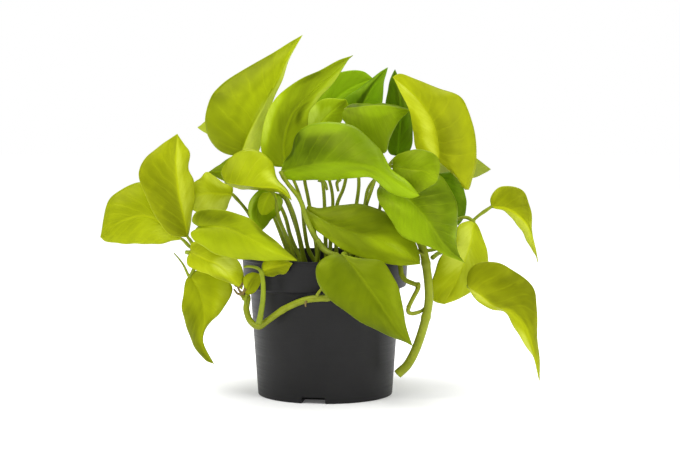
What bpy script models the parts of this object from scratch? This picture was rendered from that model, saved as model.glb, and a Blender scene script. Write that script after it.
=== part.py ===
"""A potted neon pothos: heart-shaped leaves on long stalks, two trailing stems, soil, nursery pot.

Metres, +Z up. The origin is the centre of the pot's underside. -Y is the front.
"""

import math

import bmesh
import bpy
import numpy as np

MM = 0.001

# Pot: a round black nursery pot with a turned-out collar.
POT_HEIGHT = 100.5 * MM
POT_FOOT_RADIUS = 48.5 * MM
POT_FOOT_EDGE = 1.2 * MM
POT_WALL = 1.8 * MM
POT_FLOOR = 6.0 * MM
POT_BODY_TOP_RADIUS = 54.0 * MM
COLLAR_BOTTOM = 78.5 * MM
COLLAR_LOW_RADIUS = 58.4 * MM
COLLAR_TOP_RADIUS = 60.0 * MM
POT_SIDES = 44

# Drain channels: cut into the foot, each with a hole up through the floor.
DRAIN_COUNT = 3
DRAIN_FIRST_ANGLE = math.radians(-99.6)
DRAIN_WIDTH = 17.0 * MM
DRAIN_HEIGHT = 4.5 * MM
DRAIN_LENGTH = 16.0 * MM
DRAIN_HOLE_RADIUS = 3.0 * MM
DRAIN_HOLE_AT = 39.0 * MM

# Soil.
SOIL_TOP = 88.0 * MM
SOIL_GAP = 0.4 * MM
SOIL_BUMP = 1.2 * MM

# Leaves and stalks.
BLADE_THICKNESS = 0.7 * MM
BLADE_ROWS = 8
BLADE_PUFF = 0.10
STALK_RADIUS_FOOT = 1.7 * MM
STALK_RADIUS_BLADE = 1.1 * MM
RIB_END_RADIUS = 0.55 * MM
RIB_REACH = 0.4
STALK_SIDES = 5
STALK_STEPS = 10
FOOT_GAP = 0.8 * MM
UPRIGHT_START = np.array((0.0, 0.0, 3.0))
RIB_SINK = np.array((0.05, 0.4, -0.1))
WELD = 0.001 * MM

# Outlines are drawn on the upright plane through the pot's axis, as seen from this point.
# Each point then moves along its line of sight to its own depth.
SIGHT = np.array((10.7, -1220.0, 207.0))

CLAY_BLACK = (0.024, 0.024, 0.028)
SOIL_BROWN = (0.035, 0.022, 0.014)

# Each leaf, in millimetres: (x, z) outlines on the front elevation.
# rib runs from the stalk to the tip; side_a and side_b are the two margins between those ends.
# depth is y at the rib's base, middle and tip; dip is how far behind the rib each margin lies.
# stalk is the way through (x, z, y) points to the blade, from its foot (x, y on the soil),
# or from its start (x, z, y) where the leaf grows from a trailing stem.
# radius, where given, is the stalk's own at its foot and at the blade.
LEAVES = {
    "leaf_left_far": dict(
        rib=[(-103, 111.5), (-116, 121.5), (-130, 128.5), (-148, 124), (-162, 113)],
        side_a=[(-110.5, 128), (-119, 142), (-132, 152.5), (-147, 146), (-156, 139.5), (-160, 126)],
        side_b=[(-109, 110.5), (-117, 108.5), (-130, 107.5), (-148, 109), (-158, 110)],
        depth=(-12, -18, -14), dip=(10, 4), foot=(-20, -4),
        stalk=[(-40, 107, -8), (-62, 106, -12), (-92, 104, -14)],
        tone=0.75,
    ),
    "leaf_left_upright": dict(
        rib=[(-99, 113), (-102, 128), (-105.5, 146), (-107.5, 168), (-106, 187.5)],
        side_a=[(-106, 113.5), (-114, 117), (-124, 131.5), (-131.5, 149), (-134, 160), (-129.5, 170),
                (-119, 179), (-111, 184)],
        side_b=[(-97, 119), (-94.5, 135), (-94.5, 152), (-98, 162), (-97.5, 173.5), (-100.5, 179.5)],
        depth=(-26, -30, -22), dip=(-3, 10), foot=(-24, -10),
        stalk=[(-42, 104, -20), (-64, 103, -26), (-90, 104, -28)],
        tone=0.55,
    ),
    "leaf_left_inner": dict(
        rib=[(-66.5, 144), (-76, 144.5), (-87, 144.5), (-94, 141.5), (-102, 138)],
        side_a=[(-67, 150), (-73, 152.5), (-84, 160), (-89.5, 156), (-95.5, 151)],
        side_b=[(-69.5, 137.5), (-73, 131.5), (-83, 128.5), (-92.5, 131)],
        depth=(-12, -16, -12), dip=(5, 4), foot=(-24, 2),
        stalk=[(-36, 104, -2), (-49, 120, -4), (-57, 133, -8)],
        tone=0.8,
    ),
    "leaf_left_shade": dict(
        rib=[(-55.5, 159), (-65, 160.5), (-74.5, 160.5), (-84, 160)],
        side_a=[(-58.5, 169), (-67, 171), (-76, 165)],
        side_b=[(-58.5, 152), (-67, 150.5), (-75, 154.5)],
        depth=(2, 2, 2), dip=(6, 4), foot=(-19, 9),
        stalk=[(-23.5, 101, 9), (-31.5, 121, 9), (-37, 132, 8), (-46, 148, 5)],
        tone=0.2,
    ),
    "leaf_dome_left": dict(
        rib=[(-71.5, 152.5), (-61.5, 150.5), (-48.5, 149), (-34, 148), (-24, 139.5)],
        side_a=[(-74.5, 159), (-71.5, 165.5), (-63, 174), (-54, 176.5), (-45, 174), (-37.5, 166),
                (-33.5, 155), (-27, 147)],
        side_b=[(-67, 149), (-54, 147.5), (-40, 146.8), (-29.5, 143)],
        depth=(-40, -48, -42), dip=(14, 12), foot=(-15, -17),
        stalk=[(-16, 101, -19), (-19, 115, -21), (-24, 133, -23), (-33, 149, -24), (-48, 157, -26),
               (-64, 158, -31)],
        tone=0.8,
    ),
    "leaf_curled": dict(
        rib=[(-32.5, 144), (-41, 142.5), (-50, 131.5), (-45.5, 118)],
        side_a=[(-45.5, 147.5), (-53, 141.5), (-55.5, 134.5), (-54, 126), (-50, 121)],
        side_b=[(-30.5, 139), (-32, 133), (-38, 126.5), (-42, 121)],
        depth=(-18, -24, -22), dip=(-3, 8), foot=(-13, -9),
        stalk=[(-17, 104, -11), (-20, 117, -12), (-25, 132, -14), (-29, 141, -16)],
        tone=0.1,
    ),
    "leaf_curled_young": dict(
        rib=[(-38.5, 146), (-42.5, 139), (-45.5, 129)],
        side_a=[(-45.5, 144.5), (-48.5, 136.5), (-47.5, 131.5)],
        side_b=[(-34.5, 142.5), (-36, 135), (-41, 130)],
        depth=(-31, -32, -31), dip=(1, 2), foot=(-20, -23),
        stalk=[(-24, 104, -26), (-33, 126, -29), (-36, 140, -30)],
        tone=0.45,
    ),
    "leaf_left_glossy": dict(
        rib=[(-90.5, 120.5), (-72.5, 120), (-54, 112), (-36, 102.5), (-20, 96)],
        side_a=[(-96, 124.5), (-92, 131.5), (-79.5, 133), (-65, 131), (-54, 127), (-45, 118),
                (-32.5, 107.5)],
        side_b=[(-97, 116.5), (-94.5, 110.5), (-86, 105.5), (-76.5, 100.5), (-62, 97), (-43.5, 96),
                (-30.5, 96)],
        depth=(-50, -62, -63), dip=(5, 5), foot=(-27, -27),
        stalk=[(-42, 99, -34), (-64, 105, -47), (-84, 112, -46), (-92, 117, -46)],
        tone=0.6,
    ),
    "leaf_left_low": dict(
        rib=[(-97.5, 102.5), (-87, 97), (-74.5, 91), (-60, 75)],
        side_a=[(-96, 109), (-86, 110), (-74.5, 107), (-64.5, 98), (-59.5, 91), (-58.5, 82.5)],
        side_b=[(-100, 98), (-99, 92.5), (-92.5, 89), (-85.5, 86.5), (-72.5, 81.5), (-64.5, 77.5)],
        depth=(-38, -46, -42), dip=(4, 4), foot=(-30, -16),
        stalk=[(-42, 102, -25), (-62, 102, -33), (-86, 100, -33), (-100, 102, -35)],
        tone=0.85,
    ),
    "leaf_left_hanging": dict(
        rib=[(-97.5, 85), (-90.5, 72.5), (-87.5, 55.5), (-89, 39), (-80.5, 21)],
        side_a=[(-100.5, 82), (-102.5, 71.5), (-103.5, 59), (-100, 45), (-93.5, 32.5), (-87, 24)],
        side_b=[(-90.5, 90), (-78, 87), (-68, 79), (-68, 71), (-74.5, 60), (-82.5, 51.5),
                (-87.5, 40.5), (-87, 29)],
        depth=(-22, -30, -30), dip=(4, 6), foot=(-28, -6),
        stalk=[(-40, 102.5, -11), (-60, 102.5, -16), (-88, 97, -20)],
        tone=0.85,
    ),
    "leaf_left_under": dict(
        rib=[(-46, 88.5), (-38, 91), (-31, 92.5), (-23.5, 94)],
        side_a=[(-44.5, 95), (-38, 98.5), (-30, 97.5)],
        side_b=[(-43.5, 85.3), (-38.3, 84.6), (-33, 86.3), (-28.5, 87)],
        depth=(-54.5, -57, -59), dip=(3, 1), start=(-48, 50.5, -54),
        stalk=[(-46.5, 58, -55), (-45, 68, -56), (-44.8, 80, -56)],
        radius=(2.2, 1.5), tone=0.5,
    ),
    "leaf_tail_young": dict(
        rib=[(-56.5, 71), (-54.5, 78), (-51, 83), (-47.5, 86.5)],
        side_a=[(-58.8, 76), (-58.8, 84), (-53, 87.5)],
        side_b=[(-51, 73), (-47.5, 78), (-46.2, 83)],
        depth=(-44, -45, -46), dip=(1, -1), start=(-57.5, 64.5, -46),
        stalk=[(-57.5, 67.5, -46)],
        radius=(1.2, 1.1), tone=0.45,
    ),
    "leaf_tall_left": dict(
        rib=[(-60, 175), (-54, 189.5), (-45.5, 205.5), (-36, 222.5), (-27, 243), (-16, 258)],
        side_a=[(-67, 172), (-77.5, 176.5), (-84.5, 186), (-86, 198), (-82, 212.5), (-74.5, 221),
                (-61.5, 231.5), (-47, 240), (-32.5, 248.5)],
        side_b=[(-52, 168.5), (-47, 176), (-45.5, 184), (-42, 198), (-37.5, 211), (-33.5, 221), (-28, 234.5),
                (-23, 246)],
        depth=(12, 12, 16), dip=(10, 3), foot=(-15, 0),
        stalk=[(-19, 100, 2), (-25, 114, 4), (-30, 131, 5), (-42, 152, 8), (-55, 167, 11)],
        tone=0.65,
    ),
    "leaf_tall_middle": dict(
        rib=[(-29, 163.5), (-29.5, 182), (-24, 200.5), (-12.5, 214.5), (3.5, 229), (20, 243.5)],
        side_a=[(-39.5, 165.5), (-45.5, 174), (-45.5, 186.5), (-42, 201.5), (-33.5, 215), (-18, 226.5),
                (-3.5, 233), (9.5, 240)],
        side_b=[(-20, 167.5), (-14.5, 178.5), (-13, 192.5), (-11.5, 204), (-5, 212), (3.5, 220),
                (11.5, 231.5), (16.5, 240)],
        depth=(-2, -2, 2), dip=(-5, 4), foot=(-5, -4),
        stalk=[(-12, 104, -4), (-15, 120, -4), (-17, 138, -4), (-23, 155, -3)],
        tone=0.7,
    ),
    "leaf_small_middle": dict(
        rib=[(-8, 189), (1, 200), (15, 212)],
        side_a=[(-13.5, 196), (-10.5, 206), (0, 212.5)],
        side_b=[(5, 189.5), (13, 198), (16.5, 207)],
        depth=(9, 9, 9), dip=(2, 2), foot=(1, 6),
        stalk=[(0, 118, 7), (-1, 146, 8), (-5, 172, 9)],
        tone=0.45,
    ),
    "leaf_round_back": dict(
        rib=[(-5, 195), (6, 211), (19.5, 221), (34.5, 227)],
        side_a=[(-9.5, 205.5), (-3.5, 217), (5, 228), (14.5, 232), (27, 232.5)],
        side_b=[(3.5, 198), (14.5, 204), (24, 212.5), (31, 221)],
        depth=(28, 30, 32), dip=(3, 2), foot=(-5, 16),
        stalk=[(-8, 118, 18), (-12, 140, 21), (-15, 160, 24), (-10, 181, 27)],
        tone=0.3,
    ),
    "leaf_dark_point": dict(
        rib=[(19.5, 193), (26, 206), (34, 221), (45, 235)],
        side_a=[(12.5, 198), (9.5, 208), (21.5, 218.5), (32.5, 226.5)],
        side_b=[(31, 195), (40, 207.5), (42, 220), (43.5, 228.5)],
        depth=(18, 18, 20), dip=(2, 3), foot=(8, 10),
        stalk=[(8, 118, 13), (8.5, 136, 14), (14, 151, 15), (18, 176, 17)],
        tone=0.0,
    ),
    "leaf_fold_middle": dict(
        rib=[(14.5, 205.5), (29, 207.5), (45, 207), (61, 204.5)],
        side_a=[(18, 208), (32.5, 209.5), (48.5, 208.5)],
        side_b=[(12.5, 200.5), (18, 189.5), (31, 178.5), (42.5, 173.5), (47, 183.5), (52, 195),
                (58, 201.5)],
        depth=(-6, -12, -8), dip=(12, -2), foot=(13, -4),
        stalk=[(19, 112, -1), (22.5, 136, 1), (24, 157, 1), (17, 186, -1)],
        tone=0.4,
    ),
    "leaf_dark_back": dict(
        rib=[(52, 171.5), (53.5, 189.5), (54, 211), (50, 233.5)],
        side_a=[(45.5, 175), (43.5, 193), (43.5, 211), (46.5, 225.5)],
        side_b=[(60.5, 175), (63, 189.5), (61.5, 207.5), (55.5, 222.5)],
        depth=(27, 27, 30), dip=(3, 3), foot=(14, 14),
        stalk=[(24, 112, 18), (28.5, 136, 21), (32, 150, 23), (45, 164, 26)],
        tone=0.0,
    ),
    "leaf_tall_right": dict(
        rib=[(81.5, 168), (81.5, 178.5), (78, 194), (71.5, 205.5), (63, 216), (48.5, 228)],
        side_a=[(76.5, 166.5), (69.5, 170), (64.5, 178.5), (63, 190), (60.5, 203.5), (54, 217)],
        side_b=[(88, 162), (96, 154.5), (102, 147), (105, 155), (108.5, 165.5), (109, 178.5),
                (107, 193), (102.5, 205.5), (96, 214.5), (81, 220.5), (65, 226.5), (54, 230.5)],
        depth=(-24, -18, -10), dip=(-6, 8), foot=(18, -2),
        stalk=[(34, 112, -6), (56, 138, -14), (76, 160, -22)],
        tone=0.7,
    ),
    "leaf_round_middle": dict(
        rib=[(48.5, 164), (60, 162), (71.5, 160.5), (81, 155.5)],
        side_a=[(49, 170), (56, 174), (64, 176.5), (73, 175.5), (81, 170.5), (82.5, 163.5)],
        side_b=[(49, 157), (55.5, 147.5), (64.5, 144), (73, 148), (79, 152)],
        depth=(-50, -65, -66), dip=(2, 2), foot=(17, -16),
        stalk=[(24, 112, -24), (29, 134, -32), (33, 146, -42), (37, 157, -48), (43, 164, -50)],
        tone=0.45,
    ),
    "leaf_centre_large": dict(
        rib=[(-32, 160), (-18, 163.5), (0, 166), (18, 166), (36, 162.5), (54, 151), (68, 143)],
        side_a=[(-29.5, 167.5), (-24, 175), (-21, 186.5), (-12.5, 193), (3.5, 196.5), (18, 194.5),
                (27.5, 188.5), (38.5, 176.5), (47, 162.5), (58.5, 154)],
        side_b=[(-30.5, 156), (-21.5, 154), (-3.5, 154.5), (18, 155.5), (31, 155.5), (38.5, 150.5),
                (49, 144), (60.5, 141)],
        depth=(-30, -60, -78), dip=(14, 8), foot=(-1, -36),
        stalk=[(2, 101, -40), (-6, 111, -43), (-13, 125, -44), (-18, 140, -40), (-27, 152, -34)],
        radius=(2.5, 1.4), tone=0.35,
    ),
    "leaf_front_right": dict(
        rib=[(40, 150.5), (50, 146), (60, 140.5), (68.5, 131.5), (76.5, 121.5), (85.5, 108.5),
             (100.5, 94.5)],
        side_a=[(48.5, 156), (63, 159), (76, 159), (84, 157), (90.5, 147), (94, 135), (95, 123),
                (94.5, 110), (97, 100)],
        side_b=[(37.5, 146), (38.5, 139), (43.5, 131), (48.5, 123), (54, 115), (62, 110),
                (72.5, 106.5), (83, 102), (94, 97.5)],
        depth=(-46, -68, -62), dip=(22, 0), foot=(26, -17),
        stalk=[(32, 108, -22), (39, 132, -34), (40, 145, -43)],
        tone=0.25,
    ),
    "leaf_dark_right": dict(
        rib=[(81.5, 159), (88, 146), (94, 133), (96, 121.5)],
        side_a=[(90.5, 160), (97, 153.5), (101, 143), (101.5, 131.5), (99, 125)],
        side_b=[(80.5, 152), (83, 140.5), (89, 130)],
        depth=(2, 0, -2), dip=(3, 2), foot=(22, 8),
        stalk=[(40, 112, 8), (62, 138, 6), (76, 156, 3)],
        tone=0.0,
    ),
    "leaf_right_low": dict(
        rib=[(107.5, 124.5), (105, 110), (100, 94), (94, 79.5), (86, 64.5)],
        side_a=[(110.5, 120), (115, 108.5), (118.5, 97), (116.5, 87), (109, 77.5), (100, 70)],
        side_b=[(102, 124.5), (95.5, 120), (94, 107.5), (84, 100.5), (79, 88), (76.5, 78), (77.5, 67.5)],
        depth=(-22, -28, -24), dip=(5, 4), foot=(26, 2),
        stalk=[(46, 104, 0), (72, 116, -8), (98, 127, -17)],
        tone=0.8,
    ),
    "leaf_right_far": dict(
        rib=[(119.5, 135), (130, 134), (138, 129.5), (146, 121.5), (150.5, 110), (153.5, 94.5)],
        side_a=[(118.5, 140.5), (121.5, 146), (127, 149.5), (136, 149.5), (143, 145.5), (146.5, 136.5),
                (148.5, 124.5), (151, 109)],
        side_b=[(123.5, 133), (129.5, 131), (136, 124.5), (141.5, 117), (147, 108.5), (151.5, 100.5)],
        depth=(-20, -26, -22), dip=(6, 5), foot=(28, -6),
        stalk=[(50, 102, -10), (78, 104, -14), (97, 113, -16), (107.5, 126, -18)],
        tone=0.8,
    ),
    "leaf_right_hanging": dict(
        rib=[(102.5, 77.5), (112, 71.5), (124.5, 62.5), (136, 59), (147.5, 43.5), (155.5, 8)],
        side_a=[(102.5, 84.5), (105, 90.5), (112, 95), (125, 94.5), (135, 89.5), (144.5, 82.5),
                (150.5, 74.5), (152.5, 63), (154, 45), (155.5, 27)],
        side_b=[(105, 73.5), (110.5, 66), (120.5, 60), (130, 57), (138, 46.5), (145.5, 34.5),
                (152, 22.5)],
        depth=(-40, -48, -44), dip=(4, 6), start=(77.5, 98.3, -34),
        stalk=[(82, 101.4, -21), (90, 103, -12), (103, 97, -9), (114, 90, -12), (121, 85, -23),
               (114, 79, -36)],
        tone=0.7,
    ),
    "leaf_front_pot": dict(
        rib=[(12.5, 100.5), (19.5, 92.5), (27, 83), (35.5, 71), (45, 56.5), (54, 43.5), (63.5, 34)],
        side_a=[(3.5, 100), (-3.5, 95.5), (-6.5, 89), (-5, 79), (2, 69.5), (16.5, 58), (29.5, 48.5),
                (44, 42), (56.5, 37.5)],
        side_b=[(21.5, 98.5), (32.5, 98), (42.5, 94.5), (49, 83), (54, 72.5), (57, 58), (59.5, 45)],
        depth=(-70, -88, -84), dip=(5, 6), foot=(14, -29),
        stalk=[(14.5, 96, -38), (15, 99.5, -50), (14, 101.5, -62)],
        tone=0.6,
    ),
    "leaf_front_olive": dict(
        rib=[(-13.5, 133), (3.5, 123), (21.5, 116.5), (37.5, 112), (52, 105.5), (62, 98.5), (68.5, 93.5)],
        side_a=[(-12.5, 136), (-3.5, 134.5), (11, 136), (27, 136.5), (42.5, 131.5), (55.5, 121.5),
                (65, 110), (68.5, 100)],
        side_b=[(-13, 127), (-9.5, 120.5), (0, 113), (12.5, 104), (22.5, 99.5), (42.5, 94.5),
                (57, 92.5)],
        depth=(-32, -52, -56), dip=(8, -4), foot=(-7, -28),
        stalk=[(-5, 104, -32), (-11, 122, -32)],
        tone=0.4,
    ),
    "leaf_back_centre": dict(
        rib=[(-4, 168), (-2, 182), (2, 188), (6, 186), (8, 180)],
        side_a=[(-14, 170), (-22, 180), (-20, 188), (-10, 191), (2, 190)],
        side_b=[(4, 168), (16, 172), (24, 180), (22, 186), (14, 186)],
        depth=(34, 70, 104), dip=(4, 4), foot=(3, 23),
        stalk=[(4, 112, 24), (5.5, 140, 28), (2, 157, 31)],
        tone=0.6,
    ),
    "leaf_back_left": dict(
        rib=[(-56, 160), (-64, 175), (-72, 188), (-82, 194), (-91.5, 192)],
        side_a=[(-61, 163), (-67, 174), (-75, 180), (-85, 187)],
        side_b=[(-52, 168), (-52, 182), (-60, 197), (-73, 202), (-84, 198)],
        depth=(34, 56, 84), dip=(2, 6), foot=(-23, 24),
        stalk=[(-26, 100, 26), (-37, 128, 28), (-47, 147, 31)],
        tone=0.7,
    ),
    "leaf_back_right": dict(
        rib=[(74, 160), (84, 168), (94, 171), (105, 168), (119, 162)],
        side_a=[(71, 168), (79, 180), (92, 183), (104, 174), (112, 166.5)],
        side_b=[(78, 154), (88, 153), (98, 153.5), (109, 156)],
        depth=(26, 52, 76), dip=(4, 6), foot=(20, 18),
        stalk=[(34, 108, 20), (54, 130, 22), (68, 151, 24)],
        tone=0.5,
    ),
    "leaf_back_low_left": dict(
        rib=[(-46, 104), (-58, 110), (-70, 110), (-80, 105), (-90, 100)],
        side_a=[(-47, 110), (-57, 119), (-70, 122), (-82, 116), (-91, 107)],
        side_b=[(-46, 99), (-54, 97.5), (-66, 98), (-79, 97)],
        depth=(42, 76, 104), dip=(5, 8), foot=(-26, 15),
        stalk=[(-32, 101, 26), (-39, 107, 36)],
        tone=0.75,
    ),
    "leaf_back_low_right": dict(
        rib=[(54, 128), (66, 132), (76, 130), (84, 120), (90, 106)],
        side_a=[(52, 134), (60, 144), (76, 146), (88, 134), (92, 118)],
        side_b=[(56, 122), (64, 116), (74, 110), (84, 106)],
        depth=(38, 66, 92), dip=(5, 8), foot=(26, 20),
        stalk=[(34, 100, 26), (45, 118, 33)],
        tone=0.65,
    ),
    "leaf_back_hanging": dict(
        rib=[(-6, 96), (-10, 86), (-12, 70), (-10, 52), (-2, 34)],
        side_a=[(-14, 98), (-26, 92), (-32, 78), (-28, 60), (-16, 44)],
        side_b=[(2, 96), (12, 90), (16, 76), (12, 58), (4, 44)],
        depth=(66, 82, 80), dip=(-4, -4), foot=(-6, 34),
        stalk=[(-6, 103, 46), (-6, 110, 58)],
        tone=0.7,
    ),
    "leaf_back_right_hanging": dict(
        rib=[(30, 94), (36, 84), (39, 68), (37, 52), (31, 36)],
        side_a=[(25, 94), (20, 84), (20, 66), (23, 48)],
        side_b=[(37, 94), (45, 87), (48, 74), (45, 58), (36, 42)],
        depth=(62, 74, 74), dip=(-3, -3), foot=(10, 29),
        stalk=[(18, 103, 42), (26, 109, 54)],
        tone=0.65,
    ),
}

# Trailing stems: (x, z, y) along the middle, millimetres, and the radius at each end.
# A stem with a foot starts in the soil; the shoot starts beside the right stem.
STEMS = {
    "stem_left": dict(
        foot=(11, -36), radius=(2.4, 2.2),
        path=[(10, 95, -44), (8.5, 99.5, -54), (7.5, 97.5, -63), (8, 88, -68), (8, 76, -68), (3, 69.3, -67),
              (-4, 68.8, -66), (-15, 67.3, -63), (-29, 61.3, -57), (-41, 53, -51), (-48, 48.3, -47),
              (-54, 52, -43), (-57, 60.5, -41), (-56.5, 68, -40), (-60.5, 72.5, -38)],
    ),
    "stem_right": dict(
        foot=(36, -20), radius=(2.7, 3.3),
        path=[(44, 99, -27), (56, 111, -36), (65, 113, -42), (69.5, 107.5, -43), (73, 92, -43),
              (75, 70, -41), (72.5, 53.5, -38), (66.5, 34, -35), (60, 21, -33), (52.5, 13.5, -32)],
    ),
    "shoot_right": dict(
        radius=(1.9, 1.4),
        path=[(53, 98, -36), (54.4, 91, -38), (55.2, 86, -39), (58, 82, -40), (63.5, 79.5, -41),
              (67, 78, -41), (66.6, 75, -41), (64, 70, -41), (60.4, 62.5, -41), (60.2, 58.7, -41),
              (63.5, 57.7, -40), (68, 58.8, -39)],
    ),
}
STEM_SIDES = 7
STEM_STEPS = 22


# ---- curves -------------------------------------------------------------------------------


def smooth_curve(points, count):
    """count + 1 places along a smooth curve through the points, evenly spaced along it."""
    points = np.asarray(points, float)
    ends = np.vstack((2 * points[0] - points[1], points, 2 * points[-1] - points[-2]))
    fine = []
    for p0, p1, p2, p3 in zip(ends, ends[1:], ends[2:], ends[3:]):
        t = np.linspace(0, 1, 12, endpoint=False)[:, None]
        fine.append(
            p1 + 0.5 * t * (p2 - p0 + t * (2 * p0 - 5 * p1 + 4 * p2 - p3 + t * (3 * (p1 - p2) + p3 - p0)))
        )
    fine = np.vstack(fine + [points[-1:]])
    lengths = np.linalg.norm(np.diff(fine, axis=0), axis=1)
    run = np.concatenate(([0], np.cumsum(lengths))) / lengths.sum()
    at = np.linspace(0, 1, count + 1)
    return np.column_stack([np.interp(at, run, fine[:, k]) for k in range(fine.shape[1])])


def at_depth(x, z, y):
    """The point at depth y on the line of sight through (x, z) of the front elevation."""
    flat = np.array((x, 0.0, z))
    return flat + (flat - SIGHT) * (y / -SIGHT[1])


def depth_along(depth, s):
    base, middle, tip = depth
    return base * (1 - s) * (1 - 2 * s) + middle * 4 * s * (1 - s) + tip * s * (2 * s - 1)


# ---- solids -------------------------------------------------------------------------------


def mesh_object(name, points, faces):
    """An object in the scene from points in millimetres and faces, with its faces outward."""
    mesh = bpy.data.meshes.new(name)
    mesh.from_pydata([tuple(p * MM) for p in np.asarray(points)], [], faces)
    shape = bmesh.new()
    shape.from_mesh(mesh)
    bmesh.ops.recalc_face_normals(shape, faces=shape.faces)
    bmesh.ops.triangulate(shape, faces=shape.faces)
    if shape.calc_volume(signed=True) < 0:
        bmesh.ops.reverse_faces(shape, faces=shape.faces)
    shape.to_mesh(mesh)
    shape.free()
    obj = bpy.data.objects.new(name, mesh)
    bpy.context.scene.collection.objects.link(obj)
    return obj


def combine(obj, other, operation):
    """The Boolean of two objects, kept as a plain mesh. The second object goes."""
    modifier = obj.modifiers.new(operation.lower(), "BOOLEAN")
    modifier.object = other
    modifier.operation = operation
    modifier.solver = "EXACT"
    modifier.use_self = True
    graph = bpy.context.evaluated_depsgraph_get()
    mesh = bpy.data.meshes.new_from_object(obj.evaluated_get(graph))
    obj.modifiers.clear()
    obj.data = mesh
    bpy.data.objects.remove(other)
    keep_largest(mesh)


def keep_largest(mesh):
    """Leaves only the biggest piece of a mesh, with the slivers of a Boolean merged away."""
    shape = bmesh.new()
    shape.from_mesh(mesh)
    bmesh.ops.remove_doubles(shape, verts=shape.verts, dist=WELD)
    left = set(shape.faces)
    pieces = []
    while left:
        piece = {left.pop()}
        waiting = list(piece)
        while waiting:
            for edge in waiting.pop().edges:
                if len(edge.link_faces) != 2:
                    continue
                for face in edge.link_faces:
                    if face in left:
                        left.remove(face)
                        piece.add(face)
                        waiting.append(face)
        pieces.append(piece)
    pieces.sort(key=len)
    for piece in pieces[:-1]:
        bmesh.ops.delete(shape, geom=list(piece), context="FACES")
    shape.to_mesh(mesh)
    shape.free()


def finish(obj, material, smooth_angle):
    obj.data.materials.clear()
    obj.data.materials.append(material)
    obj.data.shade_smooth()
    obj.data.set_sharp_from_angle(angle=math.radians(smooth_angle))


def tube_object(name, path, radii, sides):
    """A round rod along a path, closed at both ends."""
    path = np.asarray(path, float)
    ahead = np.gradient(path, axis=0)
    ahead /= np.linalg.norm(ahead, axis=1)[:, None]
    side = np.cross(ahead[0], (0.3, 1.0, 0.1))
    points = []
    for centre, along, radius in zip(path, ahead, radii):
        side = side - along * (side @ along)
        side /= np.linalg.norm(side)
        other = np.cross(along, side)
        for k in range(sides):
            turn = 2 * math.pi * k / sides
            points.append(centre + radius * (math.cos(turn) * side + math.sin(turn) * other))
    faces = []
    for ring in range(len(path) - 1):
        for k in range(sides):
            here = ring * sides + k
            beside = ring * sides + (k + 1) % sides
            faces.append((here, beside, beside + sides, here + sides))
    faces.append(tuple(range(sides)))
    faces.append(tuple(len(points) - 1 - k for k in range(sides)))
    return mesh_object(name, points, faces)


def material(name, colour, roughness):
    made = bpy.data.materials.new(name)
    made.use_nodes = True
    shader = made.node_tree.nodes["Principled BSDF"]
    shader.inputs["Base Color"].default_value = (*colour, 1.0)
    shader.inputs["Roughness"].default_value = roughness
    shader.inputs["Metallic"].default_value = 0.0
    made.diffuse_color = (*colour, 1.0)
    return made


# ---- leaves -------------------------------------------------------------------------------


def blade_rails(leaf):
    """The two margins and the rib, each as rows of points in millimetres from base to tip."""
    rib = smooth_curve(leaf["rib"], BLADE_ROWS)
    share = np.linspace(0, 1, BLADE_ROWS + 1)
    # Rows leave the rib early and reach the margin later, as the veins do.
    rib_share = share**1.25
    rib = np.column_stack([np.interp(rib_share, share, rib[:, k]) for k in range(2)])
    rails = [rail(leaf, rib, rib_share, 0.0)]
    for side, dip in zip(("side_a", "side_b"), leaf["dip"]):
        flat = smooth_curve([leaf["rib"][0], *leaf[side], leaf["rib"][-1]], BLADE_ROWS)
        rails.append(rail(leaf, flat, share, dip))
    rib, side_a, side_b = rails
    return side_a, rib, side_b


def rail(leaf, flat, share, dip):
    """Outline points moved to their depths, set back by dip between the two ends."""
    back = dip * np.sin(np.pi * np.clip(share, 0, 1)).clip(0) ** 0.7
    depths = depth_along(leaf["depth"], share) + back
    return np.array([at_depth(x, z, y) for (x, z), y in zip(flat, depths)])


def blade_surface(leaf):
    """Grid of points: rows from base to tip, each with five columns from margin to margin."""
    side_a, rib, side_b = blade_rails(leaf)
    columns = []
    for margin, share in ((side_a, 1.0), (side_a, 0.5), (rib, 0.0), (side_b, 0.5), (side_b, 1.0)):
        column = rib + (margin - rib) * share
        width = np.linalg.norm(margin - rib, axis=1)
        column[:, 1] -= BLADE_PUFF * width * 4 * share * (1 - share)
        columns.append(column)
    return np.array(columns).transpose(1, 0, 2)


def blade_object(name, grid):
    """The blade as a closed sheet of even thickness, with one point at each end."""
    rows, columns = grid.shape[:2]
    points = [grid[0, columns // 2]]
    for row in grid[1:-1]:
        points.extend(row)
    points.append(grid[-1, columns // 2])
    last = len(points) - 1

    def at(row, column):
        return 1 + (row - 1) * columns + column

    faces = []
    for column in range(columns - 1):
        faces.append((0, at(1, column), at(1, column + 1)))
        for row in range(1, rows - 2):
            corner = at(row, column)
            faces.append((corner, corner + columns, corner + columns + 1, corner + 1))
        faces.append((at(rows - 2, column), last, at(rows - 2, column + 1)))
    points = np.array(points)
    normals = np.zeros_like(points)
    for face in faces:
        a, b, c = points[face[0]], points[face[1]], points[face[-1]]
        normal = np.cross(b - a, c - a)
        for corner in face:
            normals[corner] += normal
    normals /= np.linalg.norm(normals, axis=1)[:, None]
    half = BLADE_THICKNESS / MM / 2
    count = len(points)
    shell = np.vstack((points + normals * half, points - normals * half))
    rim = [0] + [at(row, 0) for row in range(1, rows - 1)] + [last]
    rim += [at(row, columns - 1) for row in range(rows - 2, 0, -1)]
    whole = list(faces)
    whole += [tuple(corner + count for corner in reversed(face)) for face in faces]
    for here, beside in zip(rim, rim[1:] + rim[:1]):
        whole.append((here, beside, beside + count, here + count))
    return mesh_object(name, shell, whole)


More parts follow.
